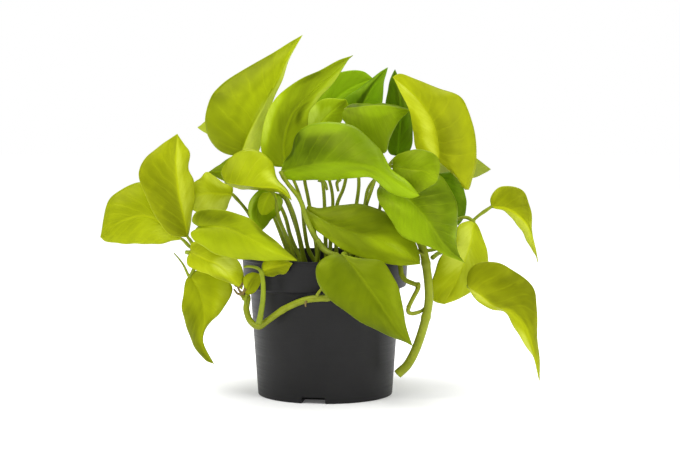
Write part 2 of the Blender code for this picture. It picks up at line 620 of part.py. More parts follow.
def start_points(plant):
    """Up from the soil at a foot, or the one point beside a stem, or none."""
    if "foot" in plant:
        x, y = plant["foot"]
        foot = np.array((x, y, (SOIL_TOP + SOIL_BUMP + FOOT_GAP) / MM))
        return [foot, foot + UPRIGHT_START]
    if "start" in plant:
        return [at_depth(*plant["start"])]
    return []


def stalk_path(leaf, grid):
    """The stalk from its start to the blade, then on along the rib."""
    way = start_points(leaf) + [at_depth(*point) for point in leaf["stalk"]]
    middle = grid.shape[1] // 2
    rib = grid[:, middle]
    reach = max(2, round(RIB_REACH * (len(rib) - 1)))
    way.append(rib[0])
    stalk = smooth_curve(way, STALK_STEPS)
    path = np.vstack((stalk, rib[1 : reach + 1] + RIB_SINK))
    low, high = leaf.get("radius", (STALK_RADIUS_FOOT / MM, STALK_RADIUS_BLADE / MM))
    radii = np.concatenate((
        np.linspace(low, high, STALK_STEPS + 1),
        np.linspace(high, RIB_END_RADIUS / MM, reach + 1)[1:],
    ))
    return path, radii


def leaf_object(name, leaf):
    grid = blade_surface(leaf)
    blade = blade_object(name, grid)
    path, radii = stalk_path(leaf, grid)
    combine(blade, tube_object(name + "_stalk", path, radii, STALK_SIDES), "UNION")
    return blade


def leaf_colour(tone):
    """From deep green at 0 to the neon yellow-green at 1."""
    deep = np.array((0.045, 0.16, 0.012))
    bright = np.array((0.42, 0.50, 0.02))
    return tuple(deep + (bright - deep) * tone)


# ---- pot, soil and stems ------------------------------------------------------------------


def turned_object(name, profile, sides):
    """A turned solid from (radius, z) pairs. The profile starts and ends on the axis."""
    points = []
    rings = []
    for radius, z in profile:
        if radius == 0:
            rings.append([len(points)])
            points.append((0.0, 0.0, z))
            continue
        rings.append(list(range(len(points), len(points) + sides)))
        for k in range(sides):
            turn = 2 * math.pi * k / sides
            points.append((radius * math.cos(turn), radius * math.sin(turn), z))
    faces = []
    for low, high in zip(rings, rings[1:]):
        for k in range(sides):
            after = (k + 1) % sides
            if len(low) == 1:
                faces.append((low[0], high[after], high[k]))
            elif len(high) == 1:
                faces.append((low[k], low[after], high[0]))
            else:
                faces.append((low[k], low[after], high[after], high[k]))
    return mesh_object(name, np.array(points) / MM, faces)


def pot_inner_radius(z):
    share = (z - POT_FLOOR) / (COLLAR_BOTTOM - POT_FLOOR)
    low = POT_FOOT_RADIUS - POT_WALL
    high = POT_BODY_TOP_RADIUS - POT_WALL
    return low + (high - low) * share


def pot_object(plastic):
    inner_top = COLLAR_TOP_RADIUS - POT_WALL
    inner_low = COLLAR_LOW_RADIUS - POT_WALL
    profile = (
        (0, 0),
        (POT_FOOT_RADIUS - POT_FOOT_EDGE, 0),
        (POT_FOOT_RADIUS, POT_FOOT_EDGE),
        (POT_BODY_TOP_RADIUS, COLLAR_BOTTOM - POT_FOOT_EDGE),
        (COLLAR_LOW_RADIUS, COLLAR_BOTTOM),
        (COLLAR_TOP_RADIUS, POT_HEIGHT),
        (inner_top, POT_HEIGHT),
        (inner_low, COLLAR_BOTTOM + POT_WALL),
        (pot_inner_radius(COLLAR_BOTTOM), COLLAR_BOTTOM),
        (pot_inner_radius(POT_FLOOR), POT_FLOOR),
        (0, POT_FLOOR),
    )
    pot = turned_object("pot", profile, POT_SIDES)
    for k in range(DRAIN_COUNT):
        turn = DRAIN_FIRST_ANGLE + 2 * math.pi * k / DRAIN_COUNT
        combine(pot, drain_channel(turn), "DIFFERENCE")
        combine(pot, drain_hole(turn), "DIFFERENCE")
    finish(pot, plastic, 30)


def turned_to(points, turn):
    """Points along +X, turned about the pot's axis."""
    points = np.array(points, float)
    cos, sin = math.cos(turn), math.sin(turn)
    return np.column_stack((
        points[:, 0] * cos - points[:, 1] * sin,
        points[:, 0] * sin + points[:, 1] * cos,
        points[:, 2],
    ))


def drain_channel(turn):
    inner = POT_FOOT_RADIUS - DRAIN_LENGTH
    outer = POT_FOOT_RADIUS + DRAIN_LENGTH
    half = DRAIN_WIDTH / 2
    low = -DRAIN_HEIGHT
    corners = [
        (x, y, z) for z in (low, DRAIN_HEIGHT) for x, y in (
            (inner, -half), (outer, -half), (outer, half), (inner, half))
    ]
    faces = [(0, 3, 2, 1), (4, 5, 6, 7), (0, 1, 5, 4), (1, 2, 6, 5), (2, 3, 7, 6), (3, 0, 4, 7)]
    return mesh_object("channel", turned_to(corners, turn) / MM, faces)


def drain_hole(turn):
    ends = turned_to([(DRAIN_HOLE_AT, 0, -POT_FLOOR), (DRAIN_HOLE_AT, 0, 2 * POT_FLOOR)], turn) / MM
    return tube_object("hole", ends, [DRAIN_HOLE_RADIUS / MM] * 2, 12)


def soil_object(earth):
    """Fills the pot to below the rim, with a low uneven top."""
    steps = (0.0, 0.3, 0.62, 0.86, 1.0)
    wall_low = pot_inner_radius(POT_FLOOR) - SOIL_GAP
    wall_high = pot_inner_radius(COLLAR_BOTTOM) - SOIL_GAP
    top_radius = COLLAR_LOW_RADIUS - POT_WALL
    profile = [
        (0, POT_FLOOR + SOIL_GAP),
        (wall_low, POT_FLOOR + SOIL_GAP),
        (wall_high, COLLAR_BOTTOM + SOIL_GAP),
        (wall_high, COLLAR_BOTTOM + POT_WALL + SOIL_GAP),
        (top_radius - SOIL_GAP, COLLAR_BOTTOM + POT_WALL + 2 * SOIL_GAP),
    ]
    for step in reversed(steps):
        profile.append(((top_radius - SOIL_GAP) * step, SOIL_TOP))
    soil = turned_object("soil", profile, 28)
    uneven = np.random.default_rng(4)
    for vertex in soil.data.vertices:
        if vertex.co.z > SOIL_TOP - MM:
            vertex.co.z += uneven.uniform(-SOIL_BUMP, SOIL_BUMP)
    finish(soil, earth, 60)


def stem_object(name, stem, bark):
    way = start_points(stem) + [at_depth(*point) for point in stem["path"]]
    path = smooth_curve(way, STEM_STEPS)
    radii = np.linspace(*stem["radius"], STEM_STEPS + 1)
    finish(tube_object(name, path, radii, STEM_SIDES), bark, 60)


def main():
    for obj in list(bpy.data.objects):
        bpy.data.objects.remove(obj)
    pot_object(material("pot_plastic", CLAY_BLACK, 0.42))
    soil_object(material("soil", SOIL_BROWN, 0.95))
    bark = material("stem", (0.30, 0.38, 0.04), 0.5)
    for name, stem in STEMS.items():
        stem_object(name, stem, bark)
    for name, leaf in LEAVES.items():
        finish(leaf_object(name, leaf), material(name, leaf_colour(leaf["tone"]), 0.38), 60)


main()
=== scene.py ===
import math

import bmesh
import bpy
import numpy as np
from mathutils import Matrix, Vector


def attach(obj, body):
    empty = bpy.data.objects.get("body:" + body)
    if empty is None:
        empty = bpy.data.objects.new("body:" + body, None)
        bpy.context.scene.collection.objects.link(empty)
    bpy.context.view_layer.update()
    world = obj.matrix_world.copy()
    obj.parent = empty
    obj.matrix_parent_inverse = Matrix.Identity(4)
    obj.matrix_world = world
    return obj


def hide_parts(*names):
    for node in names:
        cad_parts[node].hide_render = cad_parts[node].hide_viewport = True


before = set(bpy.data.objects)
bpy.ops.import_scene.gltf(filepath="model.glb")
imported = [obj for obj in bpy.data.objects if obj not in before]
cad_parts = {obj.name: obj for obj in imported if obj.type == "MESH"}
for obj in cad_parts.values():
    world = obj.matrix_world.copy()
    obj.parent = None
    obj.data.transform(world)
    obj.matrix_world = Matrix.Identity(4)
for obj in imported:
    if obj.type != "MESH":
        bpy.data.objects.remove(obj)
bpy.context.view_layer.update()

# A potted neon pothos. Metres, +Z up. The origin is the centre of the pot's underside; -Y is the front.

# Lengths below are in millimetres and become metres where each mesh is made.
MM = 0.001

# Pot.
POT_HEIGHT = 100.5
POT_FOOT_RADIUS = 48.5
POT_WALL = 1.8
POT_FLOOR = 6.0
POT_BODY_TOP_RADIUS = 54.0
COLLAR_BOTTOM = 78.5
COLLAR_LOW_RADIUS = 58.4
COLLAR_TOP_RADIUS = 60.0
POT_SIDES = 192
POT_CORNER = 0.9
FOOT_RECESS = 0.4
FOOT_RING = 8
SHARP_ANGLE = math.radians(35)
DRAIN_COUNT = 3
DRAIN_FIRST_ANGLE = math.radians(-99.6)
DRAIN_WIDTH = 17.0
DRAIN_HEIGHT = 4.5
DRAIN_LENGTH = 16.0
DRAIN_CORNER = 1.2
DRAIN_HOLE_RADIUS = 3.0
DRAIN_HOLE_AT = 39.0
DRAIN_HOLE_SIDES = 28

# Potting mix.
SOIL_TOP = 88.0
SOIL_GAP = 0.4
SOIL_SIDES = 96
SOIL_RINGS = 30
SOIL_WAVES = 8
SOIL_LUMP = 1.2
CRUMB_COUNT = 620
CRUMB_SIZES = (0.5, 1.9)
PERLITE_SHARE = 0.10
SOIL_SEED = 11

# Leaf blades. The veins bend towards the tip by VEIN_SWEEP steps between the rib and the margin.
BLADE_ROWS = 60
BLADE_COLUMNS = 20
BLADE_HALF = 0.22
BLADE_PUFF = 0.10
FULL_LENGTH = 70
VEIN_COUNT = 9
VEIN_CURVE = 0.8
VEIN_SWEEP = 2.2
VEIN_OFFSET = 0.45
FIRST_LEAF_SEED = 100

# Stalks, stems and the small tubes on them. STALK_SLOT is a leaf's green skin; its dry skin comes next.
STALK_RADII = (1.7, 1.1)
STALK_SIDES = 14
STALK_STEPS = 56
STALK_GROOVE = 0.12
STALK_SLOT = 2
FOOT_HEIGHT = 86.0
STEM_SIDES = 18
STEM_STEPS = 150
EXTRA_SIDES = 12
EXTRA_STEPS = 20
EXTRA_GROOVE = 0.15

# Leaf colour: a tone of 0 is deep green, 1 is neon and TONE_TOP is the palest.
TONE_TOP = 1.8
PALE_LEAF = (0.80, 0.84, 0.26)

# Outlines are drawn on the upright plane through the pot's axis, as seen from this point.
# Each point then moves along its line of sight to its own depth.
SIGHT = np.array((10.7, -1220.0, 207.0))
SIGHT_PITCH = math.radians(4.06)
SIGHT_LENS = 89.9

# Each leaf, in millimetres: (x, z) outlines on the front elevation.
# rib runs from the stalk to the tip; side_a and side_b are the two margins between those ends.
# depth is y at the rib's base, middle and tip; dip is how far behind the rib each margin lies.
# stalk is the way through (x, z, y) points to the blade, from its foot (x, y on the soil),
# or from its start (x, z, y) where the leaf grows from a trailing stem.
# radius, where given, is the stalk's own at its foot and at the blade. tone is the blade's tone without
# sides.
# The rest is the look. sides are the tones of the two halves, partly the leaf's own colour and partly
# painted shade on a half turned from the light; hue is 0 for a blue-leaning green and 1 for yellow;
# vein, ribline and streak are how clearly side veins, rib and streaks show; veins counts the side veins;
# back is a blade that shows its upper side to the back. A patch is painted light or painted shade, some
# of them painted highlights: a soft lighter or darker place, as (across, along, reach across, reach
# along, change of tone), across from -1 to 1 and along from 0 to 1.
LEAVES = {
    "leaf_left_far": dict(
        rib=[(-103, 111.5), (-116, 121.5), (-130, 128.5), (-148, 124), (-162, 113)],
        side_a=[(-110.5, 128), (-119, 142), (-132, 152.5), (-147, 146), (-156, 139.5), (-160, 126)],
        side_b=[(-109, 110.5), (-117, 108.5), (-130, 107.5), (-148, 109), (-158, 110)],
        depth=(-12, -18, -14), dip=(10, 4), foot=(-20, -4),
        stalk=[(-40, 107, -8), (-62, 106, -12), (-92, 104, -14)],
        tone=0.75, sides=(0.76, 0.9), hue=0.87, vein=0.2, ribline=0.5,
        painted_light_and_shade=((-0.6, 0.9, 1.3, 0.5, -0.15), (0.6, 0.9, 1.0, 0.4, -0.3), (0.1, 0.2, 0.9, 0.35, 0.2)),
    ),
    "leaf_left_upright": dict(
        rib=[(-99, 113), (-102, 128), (-105.5, 146), (-107.5, 168), (-106, 187.5)],
        side_a=[(-106, 113.5), (-114, 117), (-124, 131.5), (-131.5, 149), (-134, 160), (-129.5, 170),
                (-119, 179), (-111, 184)],
        side_b=[(-97, 119), (-94.5, 135), (-94.5, 152), (-98, 162), (-97.5, 173.5), (-100.5, 179.5)],
        depth=(-26, -30, -22), dip=(-3, 10), foot=(-24, -10),
        stalk=[(-42, 104, -20), (-64, 103, -26), (-90, 104, -28)],
        tone=0.55, sides=(0.5, 0.95), hue=0.92, vein=0.12, ribline=0.3,
        painted_light_and_shade=((-0.45, 0.4, 0.6, 0.4, -0.2), (0.2, 0.62, 0.35, 0.5, 0.15), (0.6, 0.4, 0.6, 0.4, 0.1),
                 (-0.3, 0.95, 1.0, 0.3, 0.1)),
    ),
    "leaf_left_inner": dict(
        rib=[(-66.5, 144), (-76, 144.5), (-87, 144.5), (-94, 141.5), (-102, 138)],
        side_a=[(-67, 150), (-73, 152.5), (-84, 160), (-89.5, 156), (-95.5, 151)],
        side_b=[(-69.5, 137.5), (-73, 131.5), (-83, 128.5), (-92.5, 131)],
        depth=(-12, -16, -12), dip=(5, 4), foot=(-24, 2),
        stalk=[(-36, 104, -2), (-49, 120, -4), (-57, 133, -8)],
        tone=0.8, sides=(0.88, 0.98), hue=0.87, vein=0.12,
        painted_light_and_shade=((0.7, 0.25, 0.6, 0.4, 0.4), (-0.8, 0.35, 0.5, 0.25, 0.3), (0.3, 0.7, 1.0, 0.3, 0.2)),
    ),
    "leaf_left_shade": dict(
        rib=[(-55.5, 159), (-65, 160.5), (-74.5, 160.5), (-84, 160)],
        side_a=[(-58.5, 169), (-67, 171), (-76, 165)],
        side_b=[(-58.5, 152), (-67, 150.5), (-75, 154.5)],
        depth=(2, 2, 2), dip=(6, 4), foot=(-19, 9),
        stalk=[(-23.5, 101, 9), (-31.5, 121, 9), (-37, 132, 8), (-46, 148, 5)],
        tone=0.2, sides=(0.34, 0.55), hue=0.55,
    ),
    "leaf_dome_left": dict(
        rib=[(-71.5, 152.5), (-61.5, 150.5), (-48.5, 149), (-34, 148), (-24, 139.5)],
        side_a=[(-74.5, 159), (-71.5, 165.5), (-63, 174), (-54, 176.5), (-45, 174), (-37.5, 166),
                (-33.5, 155), (-27, 147)],
        side_b=[(-67, 149), (-54, 147.5), (-40, 146.8), (-29.5, 143)],
        depth=(-40, -48, -42), dip=(14, 12), foot=(-15, -17),
        stalk=[(-16, 101, -19), (-19, 115, -21), (-24, 133, -23), (-33, 149, -24), (-48, 157, -26),
               (-64, 158, -31)],
        tone=0.8, sides=(0.86, 0.84), hue=0.84, vein=0.25,
        painted_light_and_shade=((-0.5, 0.08, 1.0, 0.3, -0.35), (0.2, 0.35, 0.9, 0.3, -0.15), (-0.45, 0.8, 0.35, 0.3, 0.45),
                 (0.5, 0.62, 0.7, 0.3, -0.35)),
    ),
    "leaf_curled": dict(
        rib=[(-32.5, 144), (-41, 142.5), (-50, 131.5), (-45.5, 118)],
        side_a=[(-45.5, 147.5), (-53, 141.5), (-55.5, 134.5), (-54, 126), (-50, 121)],
        side_b=[(-30.5, 139), (-32, 133), (-38, 126.5), (-42, 121)],
        depth=(-18, -24, -22), dip=(-3, 8), foot=(-13, -9),
        stalk=[(-17, 104, -11), (-20, 117, -12), (-25, 132, -14), (-29, 141, -16)],
        tone=0.1, sides=(0.7, 0.62), hue=0.45, vein=0.1,
        painted_light_and_shade=((0.7, 0.2, 0.6, 0.4, 0.6), (-0.5, 0.3, 0.5, 0.4, 0.3), (-0.8, 0.6, 0.4, 0.3, 0.6)),
    ),
    "leaf_curled_young": dict(
        rib=[(-38.5, 146), (-42.5, 139), (-45.5, 129)],
        side_a=[(-45.5, 144.5), (-48.5, 136.5), (-47.5, 131.5)],
        side_b=[(-34.5, 142.5), (-36, 135), (-41, 130)],
        depth=(-31, -32, -31), dip=(1, 2), foot=(-20, -23),
        stalk=[(-24, 104, -26), (-33, 126, -29), (-36, 140, -30)],
        tone=0.45, sides=(0.95, 0.86), hue=0.72, vein=0.1,
    ),
    "leaf_left_glossy": dict(
        rib=[(-90.5, 120.5), (-72.5, 120), (-54, 112), (-36, 102.5), (-20, 96)],
        side_a=[(-96, 124.5), (-92, 131.5), (-79.5, 133), (-65, 131), (-54, 127), (-45, 118), (-32.5, 107.5)],
        side_b=[(-97, 116.5), (-94.5, 110.5), (-86, 105.5), (-76.5, 100.5), (-62, 97), (-43.5, 96),
                (-30.5, 96)],
        depth=(-50, -62, -63), dip=(5, 5), foot=(-27, -27),
        stalk=[(-42, 99, -34), (-64, 105, -47), (-84, 112, -46), (-92, 117, -46)],
        tone=0.6, sides=(0.58, 0.76), hue=0.78, vein=0.12, ribline=0.3, streak=0.05,
        painted_light_and_shade=((-0.65, 0.25, 0.6, 0.25, -0.38), (-0.2, 0.72, 0.5, 0.22, 0.25), (0.5, 0.9, 1.0, 0.3, 0.2),
                 (-0.9, 0.68, 0.3, 0.15, -0.35), (0.2, 0.3, 0.6, 0.3, -0.15)),
    ),
    "leaf_left_low": dict(
        rib=[(-97.5, 102.5), (-87, 97), (-74.5, 91), (-60, 75)],
        side_a=[(-96, 109), (-86, 110), (-74.5, 107), (-64.5, 98), (-59.5, 91), (-58.5, 82.5)],
        side_b=[(-100, 98), (-99, 92.5), (-92.5, 89), (-85.5, 86.5), (-72.5, 81.5), (-64.5, 77.5)],
        depth=(-38, -46, -42), dip=(4, 4), foot=(-30, -16),
        stalk=[(-42, 102, -25), (-62, 102, -33), (-86, 100, -33), (-100, 102, -35)],
        tone=0.85, sides=(0.88, 0.92), hue=0.88, vein=0.15,
        painted_light_and_shade=((-0.6, 0.1, 0.8, 0.25, -0.2), (-0.1, 0.62, 0.8, 0.22, 0.5), (-0.8, 0.6, 0.4, 0.25, 0.35),
                 (0.9, 0.72, 0.4, 0.2, -0.3)),
    ),
    "leaf_left_hanging": dict(
        rib=[(-97.5, 85), (-90.5, 72.5), (-87.5, 55.5), (-89, 39), (-80.5, 21)],
        side_a=[(-100.5, 82), (-102.5, 71.5), (-103.5, 59), (-100, 45), (-93.5, 32.5), (-87, 24)],
        side_b=[(-90.5, 90), (-78, 87), (-68, 79), (-68, 71), (-74.5, 60), (-82.5, 51.5), (-87.5, 40.5),
                (-87, 29)],
        depth=(-22, -30, -30), dip=(4, 6), foot=(-28, -6),
        stalk=[(-40, 102.5, -11), (-60, 102.5, -16), (-88, 97, -20)],
        tone=0.85, sides=(0.5, 0.72), hue=0.87, vein=0.08, ribline=0.2,
        painted_light_and_shade=((-0.7, 0.65, 0.5, 0.45, -0.3), (0.75, 0.45, 0.5, 0.3, 0.35), (0.5, 0.05, 0.6, 0.12, -0.3)),
    ),
    "leaf_left_under": dict(
        rib=[(-46, 88.5), (-38, 91), (-31, 92.5), (-23.5, 94)],
        side_a=[(-44.5, 95), (-38, 98.5), (-30, 97.5)],
        side_b=[(-43.5, 85.3), (-38.3, 84.6), (-33, 86.3), (-28.5, 87)],
        depth=(-54.5, -57, -59), dip=(3, 1), start=(-48, 50.5, -54),
        stalk=[(-46.5, 58, -55), (-45, 68, -56), (-44.8, 80, -56)], radius=(2.2, 1.5),
        tone=0.5, sides=(0.7, 0.42), hue=0.9, vein=0.15,
        painted_light_and_shade=((-0.6, 0.4, 0.6, 0.3, 0.3), (0.8, 0.4, 0.5, 0.3, -0.2)),
    ),
    "leaf_tail_young": dict(
        rib=[(-56.5, 71), (-54.5, 78), (-51, 83), (-47.5, 86.5)],
        side_a=[(-58.8, 76), (-58.8, 84), (-53, 87.5)],
        side_b=[(-51, 73), (-47.5, 78), (-46.2, 83)],
        depth=(-44, -45, -46), dip=(1, -1), start=(-57.5, 64.5, -46),
        stalk=[(-57.5, 67.5, -46)], radius=(1.2, 1.1),
        tone=0.45, sides=(0.5, 0.55), hue=0.86, vein=0.1,
        painted_light_and_shade=((-0.7, 0.5, 0.6, 0.5, 0.35), (0.0, 0.5, 0.35, 0.5, -0.25)),
    ),
    "leaf_tall_left": dict(
        rib=[(-60, 175), (-54, 189.5), (-45.5, 205.5), (-36, 222.5), (-27, 243), (-16, 258)],
        side_a=[(-67, 172), (-77.5, 176.5), (-84.5, 186), (-86, 198), (-82, 212.5), (-74.5, 221),
                (-61.5, 231.5), (-47, 240), (-32.5, 248.5)],
        side_b=[(-52, 168.5), (-47, 176), (-45.5, 184), (-42, 198), (-37.5, 211), (-33.5, 221), (-28, 234.5),
                (-23, 246)],
        depth=(12, 12, 16), dip=(10, 3), foot=(-15, 0),
        stalk=[(-19, 100, 2), (-25, 114, 4), (-30, 131, 5), (-42, 152, 8), (-55, 167, 11)],
        tone=0.65, sides=(0.6, 1.2), hue=0.8, vein=0.12, ribline=0.2,
        painted_light_and_shade=((-0.6, 0.05, 0.9, 0.35, -0.15), (-0.15, 0.5, 0.25, 0.35, 0.25), (-0.9, 0.6, 0.4, 0.3, -0.25),
                 (0.5, 0.3, 0.7, 0.4, 0.3), (0.9, 0.8, 0.6, 0.4, 0.3), (0.9, 0.2, 0.6, 0.4, 0.6),
                 (0.2, 0.78, 0.3, 0.25, -0.3)),
    ),
    "leaf_tall_middle": dict(
        rib=[(-29, 163.5), (-29.5, 182), (-24, 200.5), (-12.5, 214.5), (3.5, 229), (20, 243.5)],
        side_a=[(-39.5, 165.5), (-45.5, 174), (-45.5, 186.5), (-42, 201.5), (-33.5, 215), (-18, 226.5),
                (-3.5, 233), (9.5, 240)],
        side_b=[(-20, 167.5), (-14.5, 178.5), (-13, 192.5), (-11.5, 204), (-5, 212), (3.5, 220),
                (11.5, 231.5), (16.5, 240)],
        depth=(-2, -2, 2), dip=(-5, 4), foot=(-5, -4),
        stalk=[(-12, 104, -4), (-15, 120, -4), (-17, 138, -4), (-23, 155, -3)],
        tone=0.7, sides=(0.62, 0.5), hue=0.66, vein=0.1,
        painted_light_and_shade=((-0.9, 0.36, 0.35, 0.24, 0.6), (-0.5, 0.85, 0.7, 0.3, -0.25), (-0.85, 0.72, 0.3, 0.12, -0.3),
                 (0.8, 0.72, 0.6, 0.35, 0.7), (0.0, 0.85, 0.6, 0.25, 0.35), (-0.1, 0.4, 0.4, 0.3, -0.18),
                 (0.5, 0.5, 0.3, 0.15, -0.4)),
    ),
    "leaf_small_middle": dict(
        rib=[(-8, 189), (1, 200), (15, 212)],
        side_a=[(-13.5, 196), (-10.5, 206), (0, 212.5)],
        side_b=[(5, 189.5), (13, 198), (16.5, 207)],
        depth=(9, 9, 9), dip=(2, 2), foot=(1, 6),
        stalk=[(0, 118, 7), (-1, 146, 8), (-5, 172, 9)],
        tone=0.45, sides=(0.86, 0.8), hue=0.58, vein=0.15,
        painted_light_and_shade=((-0.8, 0.3, 0.5, 0.3, 0.6), (-0.2, 0.4, 0.5, 0.4, 0.3), (0.2, 0.95, 0.8, 0.25, -0.5)),
    ),
    "leaf_round_back": dict(
        rib=[(-5, 195), (6, 211), (19.5, 221), (34.5, 227)],
        side_a=[(-9.5, 205.5), (-3.5, 217), (5, 228), (14.5, 232), (27, 232.5)],
        side_b=[(3.5, 198), (14.5, 204), (24, 212.5), (31, 221)],
        depth=(28, 30, 32), dip=(3, 2), foot=(-5, 16),
        stalk=[(-8, 118, 18), (-12, 140, 21), (-15, 160, 24), (-10, 181, 27)],
        tone=0.3, sides=(0.68, 0.84), hue=0.3, vein=0.1,
        painted_light_and_shade=((0.2, 0.6, 0.6, 0.4, 0.12),),
    ),
    "leaf_dark_point": dict(
        rib=[(19.5, 193), (26, 206), (34, 221), (45, 235)],
        side_a=[(12.5, 198), (9.5, 208), (21.5, 218.5), (32.5, 226.5)],
        side_b=[(31, 195), (40, 207.5), (42, 220), (43.5, 228.5)],
        depth=(18, 18, 20), dip=(2, 3), foot=(8, 10),
        stalk=[(8, 118, 13), (8.5, 136, 14), (14, 151, 15), (18, 176, 17)],
        tone=0.0, sides=(0.4, 0.5), hue=0.16, vein=0.1,
        painted_light_and_shade=((-0.18, 0.6, 0.28, 0.6, -0.4), (0.6, 0.6, 0.6, 0.4, 0.12)),
    ),
    "leaf_fold_middle": dict(
        rib=[(14.5, 205.5), (29, 207.5), (45, 207), (61, 204.5)],
        side_a=[(18, 208), (32.5, 209.5), (48.5, 208.5)],
        side_b=[(12.5, 200.5), (18, 189.5), (31, 178.5), (42.5, 173.5), (47, 183.5), (52, 195), (58, 201.5)],
        depth=(-6, -12, -8), dip=(12, -2), foot=(13, -4),
        stalk=[(19, 112, -1), (22.5, 136, 1), (24, 157, 1), (17, 186, -1)],
        tone=0.4, sides=(0.42, 0.48), hue=0.5, vein=0.15, veins=13,
        painted_light_and_shade=((0.12, 0.5, 0.18, 0.6, 0.22), (0.7, 0.9, 0.8, 0.25, 0.3), (-0.3, 0.15, 0.8, 0.2, -0.35),
                 (0.75, 0.35, 0.4, 0.3, -0.1)),
    ),
    "leaf_dark_back": dict(
        rib=[(52, 171.5), (53.5, 189.5), (54, 211), (50, 233.5)],
        side_a=[(45.5, 175), (43.5, 193), (43.5, 211), (46.5, 225.5)],
        side_b=[(60.5, 175), (63, 189.5), (61.5, 207.5), (55.5, 222.5)],
        depth=(27, 27, 30), dip=(3, 3), foot=(14, 14),
        stalk=[(24, 112, 18), (28.5, 136, 21), (32, 150, 23), (45, 164, 26)],
        tone=0.0, sides=(0.13, 0.17), hue=0.0, vein=0.1,
        painted_light_and_shade=((0.0, 0.6, 0.5, 0.4, -0.1),),
    ),
    "leaf_tall_right": dict(
        rib=[(81.5, 168), (81.5, 178.5), (78, 194), (71.5, 205.5), (63, 216), (48.5, 228)],
        side_a=[(76.5, 166.5), (69.5, 170), (64.5, 178.5), (63, 190), (60.5, 203.5), (54, 217)],
        side_b=[(88, 162), (96, 154.5), (102, 147), (105, 155), (108.5, 165.5), (109, 178.5), (107, 193),
                (102.5, 205.5), (96, 214.5), (81, 220.5), (65, 226.5), (54, 230.5)],
        depth=(-24, -18, -10), dip=(-6, 8), foot=(18, -2),
        stalk=[(34, 112, -6), (56, 138, -14), (76, 160, -22)],
        tone=0.7, sides=(1.02, 0.56), hue=0.93, vein=0.12, ribline=0.2,
        painted_light_and_shade=((-0.95, 0.15, 0.55, 0.35, -0.45), (0.15, 0.3, 0.35, 0.35, -0.2), (0.95, 0.4, 0.4, 0.6, 0.15),
                 (0.2, 0.95, 0.9, 0.25, 0.3), (-0.4, 0.3, 0.3, 0.3, 0.15), (-0.95, 0.5, 0.4, 0.2, -0.35)),
    ),
    "leaf_round_middle": dict(
        rib=[(48.5, 164), (60, 162), (71.5, 160.5), (81, 155.5)],
        side_a=[(49, 170), (56, 174), (64, 176.5), (73, 175.5), (81, 170.5), (82.5, 163.5)],
        side_b=[(49, 157), (55.5, 147.5), (64.5, 144), (73, 148), (79, 152)],
        depth=(-50, -65, -66), dip=(2, 2), foot=(17, -16),
        stalk=[(24, 112, -24), (29, 134, -32), (33, 146, -42), (37, 157, -48), (43, 164, -50)],
        tone=0.45, sides=(0.46, 0.46), hue=0.54, vein=0.12,
        painted_light_and_shade=((-0.8, 0.25, 0.6, 0.3, -0.1), (0.8, 0.5, 0.5, 0.25, -0.2), (0.0, 0.15, 0.4, 0.2, 0.15),
                 (0.2, 0.9, 0.9, 0.2, 0.2)),
    ),
    "leaf_centre_large": dict(
        rib=[(-32, 160), (-18, 163.5), (0, 166), (18, 166), (36, 162.5), (54, 151), (68, 143)],
        side_a=[(-29.5, 167.5), (-24, 175), (-21, 186.5), (-12.5, 193), (3.5, 196.5), (18, 194.5),
                (27.5, 188.5), (38.5, 176.5), (47, 162.5), (58.5, 154)],
        side_b=[(-30.5, 156), (-21.5, 154), (-3.5, 154.5), (18, 155.5), (31, 155.5), (38.5, 150.5), (49, 144),
                (60.5, 141)],
        depth=(-30, -60, -78), dip=(14, 8), foot=(-1, -36),
        stalk=[(2, 101, -40), (-6, 111, -43), (-13, 125, -44), (-18, 140, -40), (-27, 152, -34)],
        radius=(2.5, 1.4),
        tone=0.35, sides=(0.42, 0.66), hue=0.46, vein=0.12, veins=13, ribline=0.2, streak=0.04,
        painted_light_and_shade=((-0.55, 0.2, 0.8, 0.26, -0.26), (0.15, 0.22, 0.3, 0.2, -0.15),
                 (-0.92, 0.36, 0.3, 0.16, 0.35), (0.75, 0.65, 0.5, 0.2, 0.4), (0.0, 0.95, 1.2, 0.3, 0.3),
                 (-0.4, 0.4, 0.5, 0.2, -0.15), (-0.9, 0.85, 0.4, 0.15, 0.5), (-0.9, 0.15, 0.3, 0.12, -0.4),
                 (-0.9, 0.0, 0.6, 0.09, 0.35)),
    ),
    "leaf_front_right": dict(
        rib=[(40, 150.5), (50, 146), (60, 140.5), (68.5, 131.5), (76.5, 121.5), (85.5, 108.5), (100.5, 94.5)],
        side_a=[(48.5, 156), (63, 159), (76, 159), (84, 157), (90.5, 147), (94, 135), (95, 123), (94.5, 110),
                (97, 100)],
        side_b=[(37.5, 146), (38.5, 139), (43.5, 131), (48.5, 123), (54, 115), (62, 110), (72.5, 106.5),
                (83, 102), (94, 97.5)],
        depth=(-46, -68, -62), dip=(22, 0), foot=(26, -17),
        stalk=[(32, 108, -22), (39, 132, -34), (40, 145, -43)],
        tone=0.25, sides=(0.34, 0.56), hue=0.48, vein=0.2, veins=13, ribline=0.3,
        painted_light_and_shade=((0.2, 0.3, 0.35, 0.2, 0.25), (0.85, 0.42, 0.3, 0.2, 0.15), (0.3, 0.8, 0.7, 0.2, -0.22),
                 (0.7, 0.05, 0.5, 0.15, -0.3), (-0.9, 0.85, 0.4, 0.15, 0.25), (-0.4, 0.6, 0.5, 0.3, -0.08)),
    ),
    "leaf_dark_right": dict(
        rib=[(81.5, 159), (88, 146), (94, 133), (96, 121.5)],
        side_a=[(90.5, 160), (97, 153.5), (101, 143), (101.5, 131.5), (99, 125)],
        side_b=[(80.5, 152), (83, 140.5), (89, 130)],
        depth=(2, 0, -2), dip=(3, 2), foot=(22, 8),
        stalk=[(40, 112, 8), (62, 138, 6), (76, 156, 3)],
        tone=0.0, sides=(0.25, 0.2), hue=0.14, vein=0.1,
